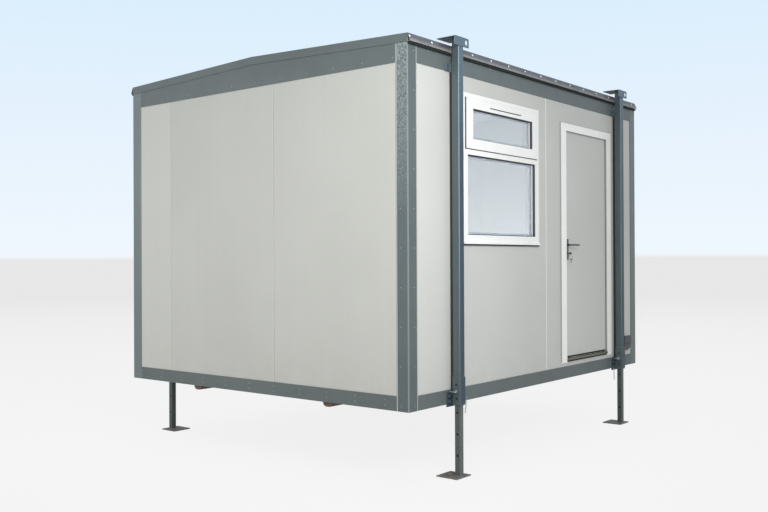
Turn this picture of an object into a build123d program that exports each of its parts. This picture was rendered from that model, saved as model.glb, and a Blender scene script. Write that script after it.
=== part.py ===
"""Portable site cabin on four telescopic jack legs, one STEP file for each named piece.

Millimetres, +Z up, origin on the ground at the centre of the plan. The front, with the
window and the door, faces -Y. Depths that start with "out" are measured outward from the
outline of the body, so a negative one lies inside it.
"""

import os
from math import atan2, degrees

from build123d import *

# Driving dimensions of the body
BODY_LENGTH = 3600
BODY_WIDTH = 2985
GROUND_CLEARANCE = 510
EAVES_HEIGHT = 2500
RIDGE_RISE = 52
BASE_HEIGHT = 100
HEADER_BOTTOM = 2318

# Layers, as depths behind the outline
POST_INSET = 3
TRIM_INSET = 5
WALL_INSET = 8
WALL_THICKNESS = 50
ROOF_THICKNESS = 57
SHEET = 2

# Steel base
RAIL_DEPTH = 90
RAIL_GAUGE = 4
JOIST_WIDTH = 50
JOIST_GAUGE = 3
JOIST_PITCH = 600
JOISTS = 5
DECK_THICKNESS = 22
RUNNER_WIDTH = 90
RUNNER_HEIGHT = 34
RUNNER_SETBACK = 20
RUNNER_Y = (-752, 662)

# Corner posts and cover trims
POST_LEG = 108
POST_LIP = 12
LIP_GAUGE = 1
FASCIA_GAUGE = 3
FASCIA_FLANGE = 60
EAVES_FLANGE = 60
EAVES_REACH = 20
EAVES_DROP = 45
EAVES_LIP = 11
EAVES_NOTCH = 76
RIDGE_WING = 150

# Wall and roof panels
PANEL_PITCH = 1210
PANEL_GAP = 1.5
PANEL_BEVEL = 3
FIRST_JOINT_X = 653
FIRST_JOINT_Y = 1268

# Window, measured from the left end and the underside of the body
WINDOW_LEFT = 645
WINDOW_BOTTOM = 1117
WINDOW_SIZE = 1085
WINDOW_LAP = 12
WINDOW_PROUD = 2
WINDOW_BACK = 63
JAMB_WIDTH = 60
SILL_HEIGHT = 66
SILL_NOSE = 18
SILL_REACH = 12
LOWER_LIGHT_TOP = 1760
SASH_MARGIN = 35
SASH_BOTTOM = 1803
SASH_REST = 15
SASH_BACK = 50
SASH_FACE = 12
SASH_FLANGE_BACK = 4
SASH_STILE = 82
SASH_RAIL = 73
VENT_LENGTH = 455
VENT_HEIGHT = 8
VENT_DEPTH = 10
VENT_BELOW_TOP = 40
VENT_SHIFT = 30
GLASS_UNIT = 24
GLASS_RECESS = 25

# Door, measured as the window is
DOOR_LEFT = 2109
DOOR_WIDTH = 953
DOOR_BOTTOM = 130
DOOR_TOP = 2153
DOOR_LAP = 10
DOOR_JAMB = 90
DOOR_HEAD = 64
DOOR_LIP = 12
DOOR_REBATE = 15
DOOR_CLEARANCE = 8
DOOR_PROUD = 2
DOOR_BACK = 63
LEAF_THICKNESS = 44
LEAF_SEAL_GAP = 5
LEAF_BOTTOM = 183
THRESHOLD_BOTTOM = 136
THRESHOLD_TOP = 165
THRESHOLD_NOSE = 6
NOSE_BOTTOM = 148

# Hinges and handle set
HINGE_OUT = -70
HINGE_INTO_JAMB = 2
HINGE_HEIGHTS = (380, 1130, 1880)
KNUCKLE_RADIUS = 6
KNUCKLE_LENGTH = 32
KNUCKLE_GAP = 1
HINGE_PIN_RADIUS = 4
HINGE_PIN_PLAY = 0.05
HINGE_PLATE = 3
HINGE_PLATE_WIDTH = 42
BACKSET = 45
LEVER_HEIGHT = 1125
PLATE_WIDTH = 32
PLATE_TOP = 1175
PLATE_BOTTOM = 1000
PLATE_THICKNESS = 7
LEVER_REACH = 44
LEVER_LENGTH = 128
LEVER_RADIUS = 8
LEVER_BEND = 14
LEVER_GAP = 1
LEVER_SIDES = 16
SPINDLE_RADIUS = 6
SPINDLE_PLAY = 0.3
CYLINDER_DROP = 72
CYLINDER_PROUD = 4

# Power inlet
INLET_LEFT = 3258
INLET_WIDTH = 122
INLET_BOTTOM = 146
INLET_HEIGHT = 133
INLET_DEPTH = 50
INLET_LID = 6

# Jacks
FRONT_JACKS_X = (-1283, 1352)
TUBE_SIZE = 60
TUBE_WALL = 5
TUBE_ROUND = 6
TUBE_STANDOFF = 14
SLEEVE_SIZE = 68
SLEEVE_TOP = 190
SLEEVE_TAPER = 14
TUBE_BOTTOM = -7
SLEEVE_HOLES = (38, 134)
SLEEVE_HOLE_RADIUS = 9
HOLE_SIDES = 12
LEG_SIZE = 45
LEG_WALL = 4
LEG_ROUND = 5
LEG_LENGTH = 2200
LEG_HOLE_RADIUS = 8.5
LEG_HOLE_PITCH = 150
LEG_HOLES = 12
FOOT_SIZE = 175
FOOT_THICKNESS = 8
FOOT_OFFSET = 48
PIN_HEIGHT = 90
PIN_RADIUS = 8
PIN_PLAY = 0.1
PIN_HEAD_RADIUS = 14
PIN_HEAD = 10
PIN_TAIL = 14
CAP_HALF_WIDTH = 88
CAP_PLATE = 6
CAP_FLANGE_DROP = 64
CAP_TOP = 2554
CAP_INWARD = 78
CAP_CORNER = 14
EYE_RADIUS = 19
EYE_OFFSET = 60
EYE_BELOW_TOP = 31
BRACKET_HALF_WIDTH = 85
BRACKET_PLATE = 6
BRACKET_LUG = 50
LOWER_BRACKET = (-17, 85)
UPPER_BRACKET = (2316, 2372)
PACKER_WIDTH = 50
PACKER_TOP = 2315

# Worked out from the driving dimensions
HALF_LENGTH = BODY_LENGTH / 2
HALF_WIDTH = BODY_WIDTH / 2
ROOF_EDGE = EAVES_HEIGHT - ROOF_THICKNESS - SHEET
ROOF_SLOPE = RIDGE_RISE / HALF_WIDTH
ROOM_INSET = WALL_INSET + WALL_THICKNESS
RAIL_INSET = WALL_INSET + RAIL_DEPTH
LEAF_OUT = DOOR_PROUD - DOOR_LIP - LEAF_SEAL_GAP
LEAF_LEFT = DOOR_LEFT + DOOR_JAMB - DOOR_REBATE + DOOR_CLEARANCE
LEAF_RIGHT = DOOR_LEFT + DOOR_WIDTH - DOOR_JAMB + DOOR_REBATE - DOOR_CLEARANCE
LEAF_TOP = DOOR_TOP - DOOR_HEAD + DOOR_REBATE - DOOR_CLEARANCE
HINGE_X = DOOR_LEFT + DOOR_WIDTH - DOOR_JAMB + DOOR_REBATE + HINGE_INTO_JAMB
LEVER_X = LEAF_LEFT + BACKSET
TUBE_OUT = TUBE_STANDOFF + TUBE_SIZE / 2
TUBE_FACE_OUT = TUBE_STANDOFF + TUBE_SIZE


def block(x, y, z):
    """Box between two corners, each axis given as (low, high)."""
    size = (x[1] - x[0], y[1] - y[0], z[1] - z[0])
    return Pos(x[0], y[0], z[0]) * Box(*size, align=(Align.MIN,) * 3)


def at_front(x, out, z):
    """Box on the front: x from the left end, out from the outline, z from the underside."""
    return block(
        (x[0] - HALF_LENGTH, x[1] - HALF_LENGTH),
        (-HALF_WIDTH - out[1], -HALF_WIDTH - out[0]),
        (z[0] + GROUND_CLEARANCE, z[1] + GROUND_CLEARANCE),
    )


def rod(radius, length, centre, direction):
    """Solid cylinder about its centre, along one axis of the frame."""
    turn = {"X": Rot(0, 90, 0), "Y": Rot(90, 0, 0), "Z": Rot(0, 0, 0)}[direction]
    return Pos(*centre) * turn * Cylinder(radius, length)


def punched_hole(radius, length, centre):
    """Many-sided prism along X about its centre, that cuts a row of like holes."""
    outline = RegularPolygon(radius, HOLE_SIDES)
    return Pos(*centre) * Rot(0, 90, 0) * extrude(outline, length / 2, both=True)


def front_point(x, out, z):
    """Point on the front in the frame of the part."""
    return (x - HALF_LENGTH, -HALF_WIDTH - out, z + GROUND_CLEARANCE)


def roof_height(y, offset=0):
    """Height of the roof's underside above the ground at y, plus an offset."""
    return GROUND_CLEARANCE + ROOF_EDGE + ROOF_SLOPE * (HALF_WIDTH - abs(y)) + offset


def extrude_x(points, x):
    """Prism of a closed outline in Y and Z, between two places along X."""
    outline = make_face(Polyline(*[(x[0], y, z) for y, z in points], close=True))
    return extrude(outline, amount=x[1] - x[0], dir=(1, 0, 0))


def roof_layer(y, low, high, x):
    """Layer between two offsets from the roof's underside, bent at the ridge where y crosses it."""
    stops = [y[0], y[1]] if y[0] * y[1] >= 0 else [y[0], 0, y[1]]
    lower = [(stop, roof_height(stop, low)) for stop in stops]
    upper = [(stop, roof_height(stop, high)) for stop in reversed(stops)]
    return extrude_x(lower + upper, x)


def under_roof(solid):
    """Cuts a wall-high solid off at the underside of the roof."""
    reach = (-HALF_WIDTH, HALF_WIDTH)
    return solid & roof_layer(reach, -2 * EAVES_HEIGHT, 0, (-HALF_LENGTH, HALF_LENGTH))


def folded_channel(depth, height, gauge, length):
    """C section along X, web on its -Y side, lower corner of the web at the origin."""
    outer = block((0, length), (0, depth), (0, height))
    hollow = block((0, length), (gauge, depth), (gauge, height - gauge))
    return outer - hollow


def write(name, *solids):
    """Writes one piece, or several like ones that don't touch, to parts/NAME.step."""
    pieces = [solid for shape in solids for solid in shape.solids()]
    shape = pieces[0] if len(pieces) == 1 else Compound(pieces)
    export_step(shape, f"parts/{name}.step")


def turned(shape):
    """The same piece on the opposite side of the cabin."""
    return Rot(0, 0, 180) * shape


def unturned(shape):
    """The piece where it is, on the front."""
    return shape


# Base frame and floor


def base_rail(length):
    """C rail of the base frame, web facing -Y, centred along X."""
    rail = folded_channel(RAIL_DEPTH, BASE_HEIGHT, RAIL_GAUGE, length)
    return Pos(-length / 2, 0, GROUND_CLEARANCE) * rail


def base_rails():
    """Long rails under the front and back walls, short ones between them."""
    long_rail = Pos(0, -HALF_WIDTH + WALL_INSET, 0) * base_rail(BODY_LENGTH - 2 * WALL_INSET)
    short_rail = base_rail(BODY_WIDTH - 2 * RAIL_INSET)
    end_rail = Rot(0, 0, -90) * Pos(0, -HALF_LENGTH + WALL_INSET, 0) * short_rail
    write("base_rails_long", long_rail, turned(long_rail))
    write("base_rails_end", end_rail, turned(end_rail))


def floor_joists():
    """C joists across the width, between the flanges of the long rails."""
    span = BODY_WIDTH - 2 * RAIL_INSET
    joist = Pos(-span / 2, -JOIST_WIDTH / 2, GROUND_CLEARANCE) * folded_channel(
        JOIST_WIDTH, BASE_HEIGHT, JOIST_GAUGE, span
    )
    places = [JOIST_PITCH * (i - (JOISTS - 1) / 2) for i in range(JOISTS)]
    write("floor_joists", *[Pos(x, 0, 0) * Rot(0, 0, 90) * joist for x in places])


def floor_deck():
    """Floor board that fills the plan between the walls."""
    half_x = HALF_LENGTH - ROOM_INSET
    half_y = HALF_WIDTH - ROOM_INSET
    bottom = GROUND_CLEARANCE + BASE_HEIGHT
    deck = block((-half_x, half_x), (-half_y, half_y), (bottom, bottom + DECK_THICKNESS))
    write("floor_deck", deck)


def runners():
    """Two bearers along the underside, with round lower edges."""
    half_x = HALF_LENGTH - RUNNER_SETBACK
    bottom = GROUND_CLEARANCE - RUNNER_HEIGHT
    bearers = []
    for y in RUNNER_Y:
        sides = (y - RUNNER_WIDTH / 2, y + RUNNER_WIDTH / 2)
        bearer = block((-half_x, half_x), sides, (bottom, GROUND_CLEARANCE))
        edges = bearer.edges().filter_by(Axis.X).group_by(Axis.Z)[0]
        bearers.append(fillet(edges, RUNNER_HEIGHT - JOIST_GAUGE))
    write("runners", *bearers)


# Corner posts and cover trims


def corner_post(mirror_x, mirror_y):
    """Folded angle over a corner, each leg ending in a lip that slopes back to the wall."""
    lip_start = POST_LEG - POST_LIP
    lip_face = WALL_INSET - LIP_GAUGE
    one_leg = [(lip_start, POST_INSET), (POST_LEG, lip_face), (POST_LEG, WALL_INSET)]
    other_leg = [(b, a) for a, b in reversed(one_leg)]
    corner = [(POST_INSET, POST_INSET)]
    outline = corner + one_leg + [(WALL_INSET, WALL_INSET)] + other_leg
    points = [
        (mirror_x * (a - HALF_LENGTH), mirror_y * (b - HALF_WIDTH), GROUND_CLEARANCE)
        for a, b in outline
    ]
    face = make_face(Polyline(*points, close=True))
    return under_roof(extrude(face, amount=EAVES_HEIGHT, dir=(0, 0, 1)))


def cover_strips(bottom, top):
    """Flat strips round the four sides between the posts, cut off at the roof."""
    deep = (-WALL_INSET, -TRIM_INSET)
    front = at_front((POST_LEG, BODY_LENGTH - POST_LEG), deep, (bottom, top))
    half_y = HALF_WIDTH - POST_LEG
    side_x = (-HALF_LENGTH + TRIM_INSET, -HALF_LENGTH + WALL_INSET)
    side_z = (GROUND_CLEARANCE + bottom, GROUND_CLEARANCE + top)
    side = block(side_x, (-half_y, half_y), side_z)
    strips = [under_roof(front), under_roof(side)]
    return strips + [turned(strip) for strip in strips]


def gable_fascia():
    """Folded capping over the roof's left end, bent at the ridge."""
    reach = (-HALF_WIDTH, HALF_WIDTH)
    left = -HALF_LENGTH
    face = roof_layer(reach, 0, ROOF_THICKNESS + SHEET, (left, left + FASCIA_GAUGE))
    flange_x = (left, left + FASCIA_FLANGE)
    flange = roof_layer(reach, ROOF_THICKNESS, ROOF_THICKNESS + SHEET, flange_x)
    return face + flange


def eaves_flashing(jack_places):
    """Folded drip flashing along the front eaves, notched round the jack tubes."""
    edge = -HALF_WIDTH
    inner = edge + EAVES_FLANGE
    top = roof_height(edge, ROOF_THICKNESS)
    inner_top = roof_height(inner, ROOF_THICKNESS)
    drip = top + SHEET - EAVES_DROP
    skin = [
        (edge, top + SHEET),
        (edge - EAVES_REACH, drip),
        (edge - EAVES_REACH, drip - EAVES_LIP),
        (edge - EAVES_REACH + SHEET, drip - EAVES_LIP),
        (edge - EAVES_REACH + SHEET, drip),
        (edge, top),
    ]
    flange = [(edge, top), (edge, top + SHEET), (inner, inner_top + SHEET), (inner, inner_top)]
    half_flange = HALF_LENGTH - FASCIA_FLANGE
    strip = extrude_x(skin, (-HALF_LENGTH, HALF_LENGTH))
    strip += extrude_x(flange, (-half_flange, half_flange))
    for x in jack_places:
        sides = (x - EAVES_NOTCH / 2, x + EAVES_NOTCH / 2)
        depth = (edge - 2 * EAVES_REACH, edge - SHEET)
        strip -= block(sides, depth, (drip - 2 * EAVES_LIP, top + 2 * SHEET))
    return strip


# Walls and roof


def joints_from(first, length):
    """Places of the panel joints along a wall."""
    places = []
    while first < length - POST_LEG:
        places.append(first)
        first += PANEL_PITCH
    return places


def panel(x, z=(BASE_HEIGHT, EAVES_HEIGHT), bevel=(True, True)):
    """Sandwich panel in the front wall, its outer edges bevelled where it meets a neighbour."""
    solid = at_front(x, (-ROOM_INSET, -WALL_INSET), z)
    groups = solid.edges().filter_by(Axis.Z).group_by(Axis.Y)[0].sort_by(Axis.X)
    edges = [edge for edge, wanted in zip(groups, bevel) if wanted]
    if edges:
        solid = chamfer(edges, PANEL_BEVEL)
    return under_roof(solid)


def panel_row(start, end, joints):
    """Panels of a plain wall from start to end, a hair apart at each joint."""
    edges = [start] + joints + [end]
    row = []
    for left, right in zip(edges, edges[1:]):
        inner_left, inner_right = left != start, right != end
        x = (left + PANEL_GAP / 2 * inner_left, right - PANEL_GAP / 2 * inner_right)
        row.append(panel(x, bevel=(inner_left, inner_right)))
    return row


def side_wall():
    """Left gable wall, its panels numbered from the front."""
    span = BODY_WIDTH - 2 * ROOM_INSET
    edges = [ROOM_INSET] + joints_from(FIRST_JOINT_Y, BODY_WIDTH) + [ROOM_INSET + span]
    x = (-HALF_LENGTH + WALL_INSET, -HALF_LENGTH + ROOM_INSET)
    z = (GROUND_CLEARANCE + BASE_HEIGHT, GROUND_CLEARANCE + EAVES_HEIGHT + RIDGE_RISE)
    row = []
    for i, (near, far) in enumerate(zip(edges, edges[1:])):
        first, last = i == 0, i == len(edges) - 2
        y = (near + PANEL_GAP / 2 * (not first), far - PANEL_GAP / 2 * (not last))
        solid = block(x, (y[0] - HALF_WIDTH, y[1] - HALF_WIDTH), z)
        outer = solid.edges().filter_by(Axis.Z).group_by(Axis.X)[0].sort_by(Axis.Y)
        meets = [edge for edge, end in zip(outer, (first, last)) if not end]
        row.append(under_roof(chamfer(meets, PANEL_BEVEL)))
    return row


def front_wall():
    """Front wall in panels, with the window cut through one and the doorway left open."""
    first = FIRST_JOINT_X
    second, third = first + PANEL_PITCH, first + 2 * PANEL_PITCH
    start, end = WALL_INSET, BODY_LENGTH - WALL_INSET
    door_left = DOOR_LEFT + DOOR_LAP
    door_right = DOOR_LEFT + DOOR_WIDTH - DOOR_LAP
    hole_x = (WINDOW_LEFT + WINDOW_LAP, WINDOW_LEFT + WINDOW_SIZE - WINDOW_LAP)
    hole_z = (WINDOW_BOTTOM + WINDOW_LAP, WINDOW_BOTTOM + WINDOW_SIZE - WINDOW_LAP)
    through = (-ROOM_INSET, -WALL_INSET)
    write("front_wall_left", panel((start, first), bevel=(False, True)))
    write("front_wall_window", panel((first, second)) - at_front(hole_x, through, hole_z))
    write("front_wall_door_side", panel((second, door_left), bevel=(True, False)))
    head_z = (DOOR_TOP - DOOR_LAP, EAVES_HEIGHT)
    write("front_wall_door_head", panel((door_left, door_right), head_z, (False, False)))
    sill = panel((door_left, door_right), (BASE_HEIGHT, DOOR_BOTTOM), (False, False))
    raised_z = (DOOR_BOTTOM, THRESHOLD_BOTTOM)
    behind_lip = (-ROOM_INSET, DOOR_PROUD - DOOR_LIP)
    sill += at_front(seat_opening(), behind_lip, raised_z)
    sill += at_front(lip_opening(), (behind_lip[1], -WALL_INSET), raised_z)
    write("front_wall_door_sill", sill)
    groove = Pos(*front_point(third, -WALL_INSET, 0)) * Rot(0, 0, 45) * Box(
        PANEL_BEVEL, PANEL_BEVEL, 2 * EAVES_HEIGHT
    )
    write("front_wall_right", panel((door_right, end), bevel=(False, False)) - groove)


def roof_slope():
    """Front slope of the roof, in insulated panels side by side."""
    joints = joints_from(PANEL_PITCH, BODY_LENGTH)
    edges = [POST_INSET] + joints + [BODY_LENGTH - POST_INSET]
    y = (-HALF_WIDTH + POST_INSET, 0)
    row = []
    for i, (left, right) in enumerate(zip(edges, edges[1:])):
        near = left + PANEL_GAP / 2 * (i > 0) - HALF_LENGTH
        far = right - PANEL_GAP / 2 * (i < len(edges) - 2) - HALF_LENGTH
        row.append(roof_layer(y, 0, ROOF_THICKNESS, (near, far)))
    return row


def ridge_flashing():
    """Folded strip over the joint of the two slopes, between the gable fascias."""
    half_x = HALF_LENGTH - FASCIA_FLANGE
    wings = (-RIDGE_WING, RIDGE_WING)
    return roof_layer(wings, ROOF_THICKNESS, ROOF_THICKNESS + SHEET, (-half_x, half_x))


# Window


def window_frame():
    """Outer frame with a fixed lower light and a rebated upper light."""
    x = (WINDOW_LEFT, WINDOW_LEFT + WINDOW_SIZE)
    z = (WINDOW_BOTTOM, WINDOW_BOTTOM + WINDOW_SIZE)
    through = (-WINDOW_BACK, WINDOW_PROUD)
    flange = at_front(x, (-WALL_INSET, WINDOW_PROUD), z)
    body_x = (x[0] + WINDOW_LAP, x[1] - WINDOW_LAP)
    body_z = (z[0] + WINDOW_LAP, z[1] - WINDOW_LAP)
    frame = flange + at_front(body_x, (-WINDOW_BACK, -WALL_INSET), body_z)
    nose = (z[0], z[0] + SILL_NOSE)
    frame += at_front(x, (WINDOW_PROUD, SILL_REACH), nose)
    frame -= at_front(lower_light_x(), through, lower_light_z())
    return frame - at_front(*sash_seat(through))


def lower_light_x():
    return (WINDOW_LEFT + JAMB_WIDTH, WINDOW_LEFT + WINDOW_SIZE - JAMB_WIDTH)


def lower_light_z():
    return (WINDOW_BOTTOM + SILL_HEIGHT, LOWER_LIGHT_TOP)


def sash_edges():
    """Outer edges of the sash, as (x, z)."""
    x = (WINDOW_LEFT + SASH_MARGIN, WINDOW_LEFT + WINDOW_SIZE - SASH_MARGIN)
    return x, (SASH_BOTTOM, WINDOW_BOTTOM + WINDOW_SIZE - SASH_MARGIN)


def sash_seat(out):
    """Opening of the frame that the sash closes, as (x, out, z)."""
    x, z = sash_edges()
    return (x[0] + SASH_REST, x[1] - SASH_REST), out, (z[0] + SASH_REST, z[1] - SASH_REST)


def sash_light():
    """Opening of the sash for its glass, as (x, z)."""
    x, z = sash_edges()
    return (x[0] + SASH_STILE, x[1] - SASH_STILE), (z[0] + SASH_RAIL, z[1] - SASH_RAIL)


def window_sash():
    """Top-hung sash with a ventilation slot in its upper rail."""
    x, z = sash_edges()
    light_x, light_z = sash_light()
    sash = at_front(x, (SASH_FLANGE_BACK, SASH_FACE), z)
    sash += at_front(*sash_seat((-SASH_BACK, SASH_FLANGE_BACK)))
    sash -= at_front(light_x, (-SASH_BACK, SASH_FACE), light_z)
    middle = (x[0] + x[1]) / 2 + VENT_SHIFT
    slot_x = (middle - VENT_LENGTH / 2, middle + VENT_LENGTH / 2)
    slot_z = (z[1] - VENT_BELOW_TOP - VENT_HEIGHT, z[1] - VENT_BELOW_TOP)
    return sash - at_front(slot_x, (SASH_FACE - VENT_DEPTH, SASH_FACE), slot_z)


def window_glass():
    """Sealed units of the lower light and the sash."""
    lower_face = WINDOW_PROUD - GLASS_RECESS
    upper_face = SASH_FACE - GLASS_RECESS
    light_x, light_z = sash_light()
    lower = at_front(lower_light_x(), (lower_face - GLASS_UNIT, lower_face), lower_light_z())
    upper = at_front(light_x, (upper_face - GLASS_UNIT, upper_face), light_z)
    return lower, upper


# Door


def lip_opening():
    """Sides of the opening between the outer lips of the jambs."""
    return (DOOR_LEFT + DOOR_JAMB, DOOR_LEFT + DOOR_WIDTH - DOOR_JAMB)


def seat_opening():
    """Sides of the wider opening behind the lips, that the leaf hangs in."""
    left, right = lip_opening()
    return (left - DOOR_REBATE, right + DOOR_REBATE)


def door_frame():
    """Two jambs and a head, with an outer lip that the leaf closes against."""
    x = (DOOR_LEFT, DOOR_LEFT + DOOR_WIDTH)
    lip_out = (DOOR_PROUD - DOOR_LIP, DOOR_PROUD)
    body_out = (-DOOR_BACK, DOOR_PROUD - DOOR_LIP)
    cut_z = (DOOR_BOTTOM, DOOR_TOP - DOOR_HEAD)
    lip = at_front(x, (-WALL_INSET, DOOR_PROUD), (DOOR_BOTTOM, DOOR_TOP))
    lap_x = (x[0] + DOOR_LAP, x[1] - DOOR_LAP)
    lap_z = (DOOR_BOTTOM, DOOR_TOP - DOOR_LAP)
    frame = lip + at_front(lap_x, (-DOOR_BACK, -WALL_INSET), lap_z)
    frame -= at_front(lip_opening(), lip_out, cut_z)
    seat_z = (DOOR_BOTTOM, cut_z[1] + DOOR_REBATE)
    return frame - at_front(seat_opening(), body_out, seat_z)


def door_threshold():
    """Metal sill between the jambs, its sloping nose standing out over the wall."""
    split = DOOR_PROUD - DOOR_LIP
    nose = at_front(lip_opening(), (split, THRESHOLD_NOSE), (NOSE_BOTTOM, THRESHOLD_TOP))
    top_edge = nose.edges().filter_by(Axis.X).group_by(Axis.Z)[-1].sort_by(Axis.Y)[0]
    nose = chamfer(top_edge, THRESHOLD_NOSE)
    return nose + at_front(seat_opening(), (-DOOR_BACK, split), (THRESHOLD_BOTTOM, THRESHOLD_TOP))


def door_leaf():
    """Insulated leaf, drilled for the spindle and the lock cylinder."""
    x = (LEAF_LEFT, LEAF_RIGHT)
    leaf = at_front(x, (LEAF_OUT - LEAF_THICKNESS, LEAF_OUT), (LEAF_BOTTOM, LEAF_TOP))
    return leaf - handle_bore(LEVER_HEIGHT, SPINDLE_RADIUS + SPINDLE_PLAY)


def handle_bore(height, radius):
    """Hole straight through the leaf and both handle plates."""
    centre = front_point(LEVER_X, LEAF_OUT - LEAF_THICKNESS / 2, height)
    return rod(radius, LEAF_THICKNESS + 4 * PLATE_THICKNESS, centre, "Y")


def through_leaf(out_from_face):
    """Mirrors a depth outside the leaf's outer face to behind its inner face."""
    return LEAF_OUT - LEAF_THICKNESS - out_from_face


def handle_plates():
    """Long plate on each face of the leaf, with the ends of the lock cylinder."""
    x = (LEVER_X - PLATE_WIDTH / 2, LEVER_X + PLATE_WIDTH / 2)
    z = (PLATE_BOTTOM, PLATE_TOP)
    faces = [
        (LEAF_OUT, LEAF_OUT + PLATE_THICKNESS),
        (through_leaf(PLATE_THICKNESS), through_leaf(0)),
    ]
    bore = handle_bore(LEVER_HEIGHT, SPINDLE_RADIUS + SPINDLE_PLAY)
    plates = []
    for out in faces:
        plate = at_front(x, out, z)
        plate = fillet(plate.edges().filter_by(Axis.Y), PLATE_WIDTH / 3)
        plates.append(plate - bore)
    return plates


def lock_cylinder():
    """Round and slotted ends of the lock cylinder, one on each plate."""
    ends = []
    outward = LEAF_OUT + PLATE_THICKNESS + CYLINDER_PROUD / 2
    inward = through_leaf(PLATE_THICKNESS + CYLINDER_PROUD / 2)
    for out in (outward, inward):
        height = LEVER_HEIGHT - CYLINDER_DROP
        end = rod(LEVER_RADIUS, CYLINDER_PROUD, front_point(LEVER_X, out, height), "Y")
        keyway = Pos(*front_point(LEVER_X, out, height)) * Box(2, 2 * CYLINDER_PROUD, LEVER_RADIUS)
        ends.append(end - keyway)
    return ends


def levers():
    """Outer and inner lever on one spindle."""
    outer_start = LEAF_OUT + PLATE_THICKNESS + LEVER_GAP
    inner_start = through_leaf(PLATE_THICKNESS + LEVER_GAP)
    length = outer_start - inner_start + 2 * LEVER_GAP
    middle = front_point(LEVER_X, LEAF_OUT - LEAF_THICKNESS / 2, LEVER_HEIGHT)
    spindle = rod(SPINDLE_RADIUS, length, middle, "Y")
    return lever_arm(outer_start, 1) + lever_arm(inner_start, -1) + spindle


def lever_arm(start, side):
    """Round bar that stands off the plate and bends toward the hinges."""
    tip = start + side * (LEVER_REACH - LEVER_GAP)
    path = FilletPolyline(
        front_point(LEVER_X, start, LEVER_HEIGHT),
        front_point(LEVER_X, tip, LEVER_HEIGHT),
        front_point(LEVER_X + LEVER_LENGTH, tip, LEVER_HEIGHT),
        radius=LEVER_BEND,
    )
    section = Plane(origin=path @ 0, z_dir=path % 0) * RegularPolygon(LEVER_RADIUS, LEVER_SIDES)
    arm = sweep(section, path=path)
    end = arm.faces().sort_by(Axis.X)[-1]
    return chamfer(end.edges(), LEVER_RADIUS / 3)


def hinge_parts(height):
    """Frame half and leaf half of one butt hinge, with the pin on the frame half."""
    axis = front_point(HINGE_X, HINGE_OUT, height)
    step = KNUCKLE_LENGTH + KNUCKLE_GAP
    plate_x = (HINGE_X, HINGE_X + HINGE_PLATE_WIDTH)
    plate_out = (-DOOR_BACK - HINGE_PLATE, -DOOR_BACK)
    frame_half = rod(HINGE_PIN_RADIUS, 3 * KNUCKLE_LENGTH + 2 * KNUCKLE_GAP, axis, "Z")
    for side in (-1, 1):
        centre = (axis[0], axis[1], axis[2] + side * step)
        frame_half += rod(KNUCKLE_RADIUS, KNUCKLE_LENGTH, centre, "Z")
        middle = height + side * step
        z = (middle - KNUCKLE_LENGTH / 2, middle + KNUCKLE_LENGTH / 2)
        frame_half += at_front(plate_x, plate_out, z)
    clear_x = (HINGE_X + 2 * KNUCKLE_RADIUS, plate_x[1])
    whole_z = (height - 1.5 * KNUCKLE_LENGTH - KNUCKLE_GAP, height + 1.5 * KNUCKLE_LENGTH + KNUCKLE_GAP)
    frame_half += at_front(clear_x, plate_out, whole_z)
    leaf_back = through_leaf(0)
    leaf_z = (height - KNUCKLE_LENGTH / 2, height + KNUCKLE_LENGTH / 2)
    leaf_half = rod(KNUCKLE_RADIUS, KNUCKLE_LENGTH, axis, "Z")
    link_x = (LEAF_RIGHT - HINGE_PLATE, HINGE_X - KNUCKLE_RADIUS / 2)
    leaf_half += at_front(link_x, (HINGE_OUT, leaf_back - HINGE_PLATE), leaf_z)
    leaf_half += at_front(
        (LEAF_RIGHT - HINGE_PLATE_WIDTH, LEAF_RIGHT), (leaf_back - HINGE_PLATE, leaf_back), whole_z
    )
    bore = rod(HINGE_PIN_RADIUS + HINGE_PIN_PLAY, 2 * KNUCKLE_LENGTH, axis, "Z")
    return frame_half, leaf_half - bore


# Power inlet


def power_inlet():
    """Closed box for the supply cable, with a sloping face under a lid."""
    x = (INLET_LEFT, INLET_LEFT + INLET_WIDTH)
    z = (INLET_BOTTOM, INLET_BOTTOM + INLET_HEIGHT)
    face = -WALL_INSET + INLET_DEPTH
    box = at_front(x, (-WALL_INSET, face), z)
    lower = box.edges().filter_by(Axis.X).group_by(Axis.Z)[0].sort_by(Axis.Y)[0]
    box = chamfer(lower, INLET_DEPTH / 2)
    middle = INLET_BOTTOM + INLET_HEIGHT / 2
    lid_x = (x[0] - INLET_LID, x[1] + INLET_LID)
    lid = at_front(lid_x, (face, face + INLET_LID), (middle, z[1] + INLET_LID))
    return box + lid


# Jacks


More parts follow.
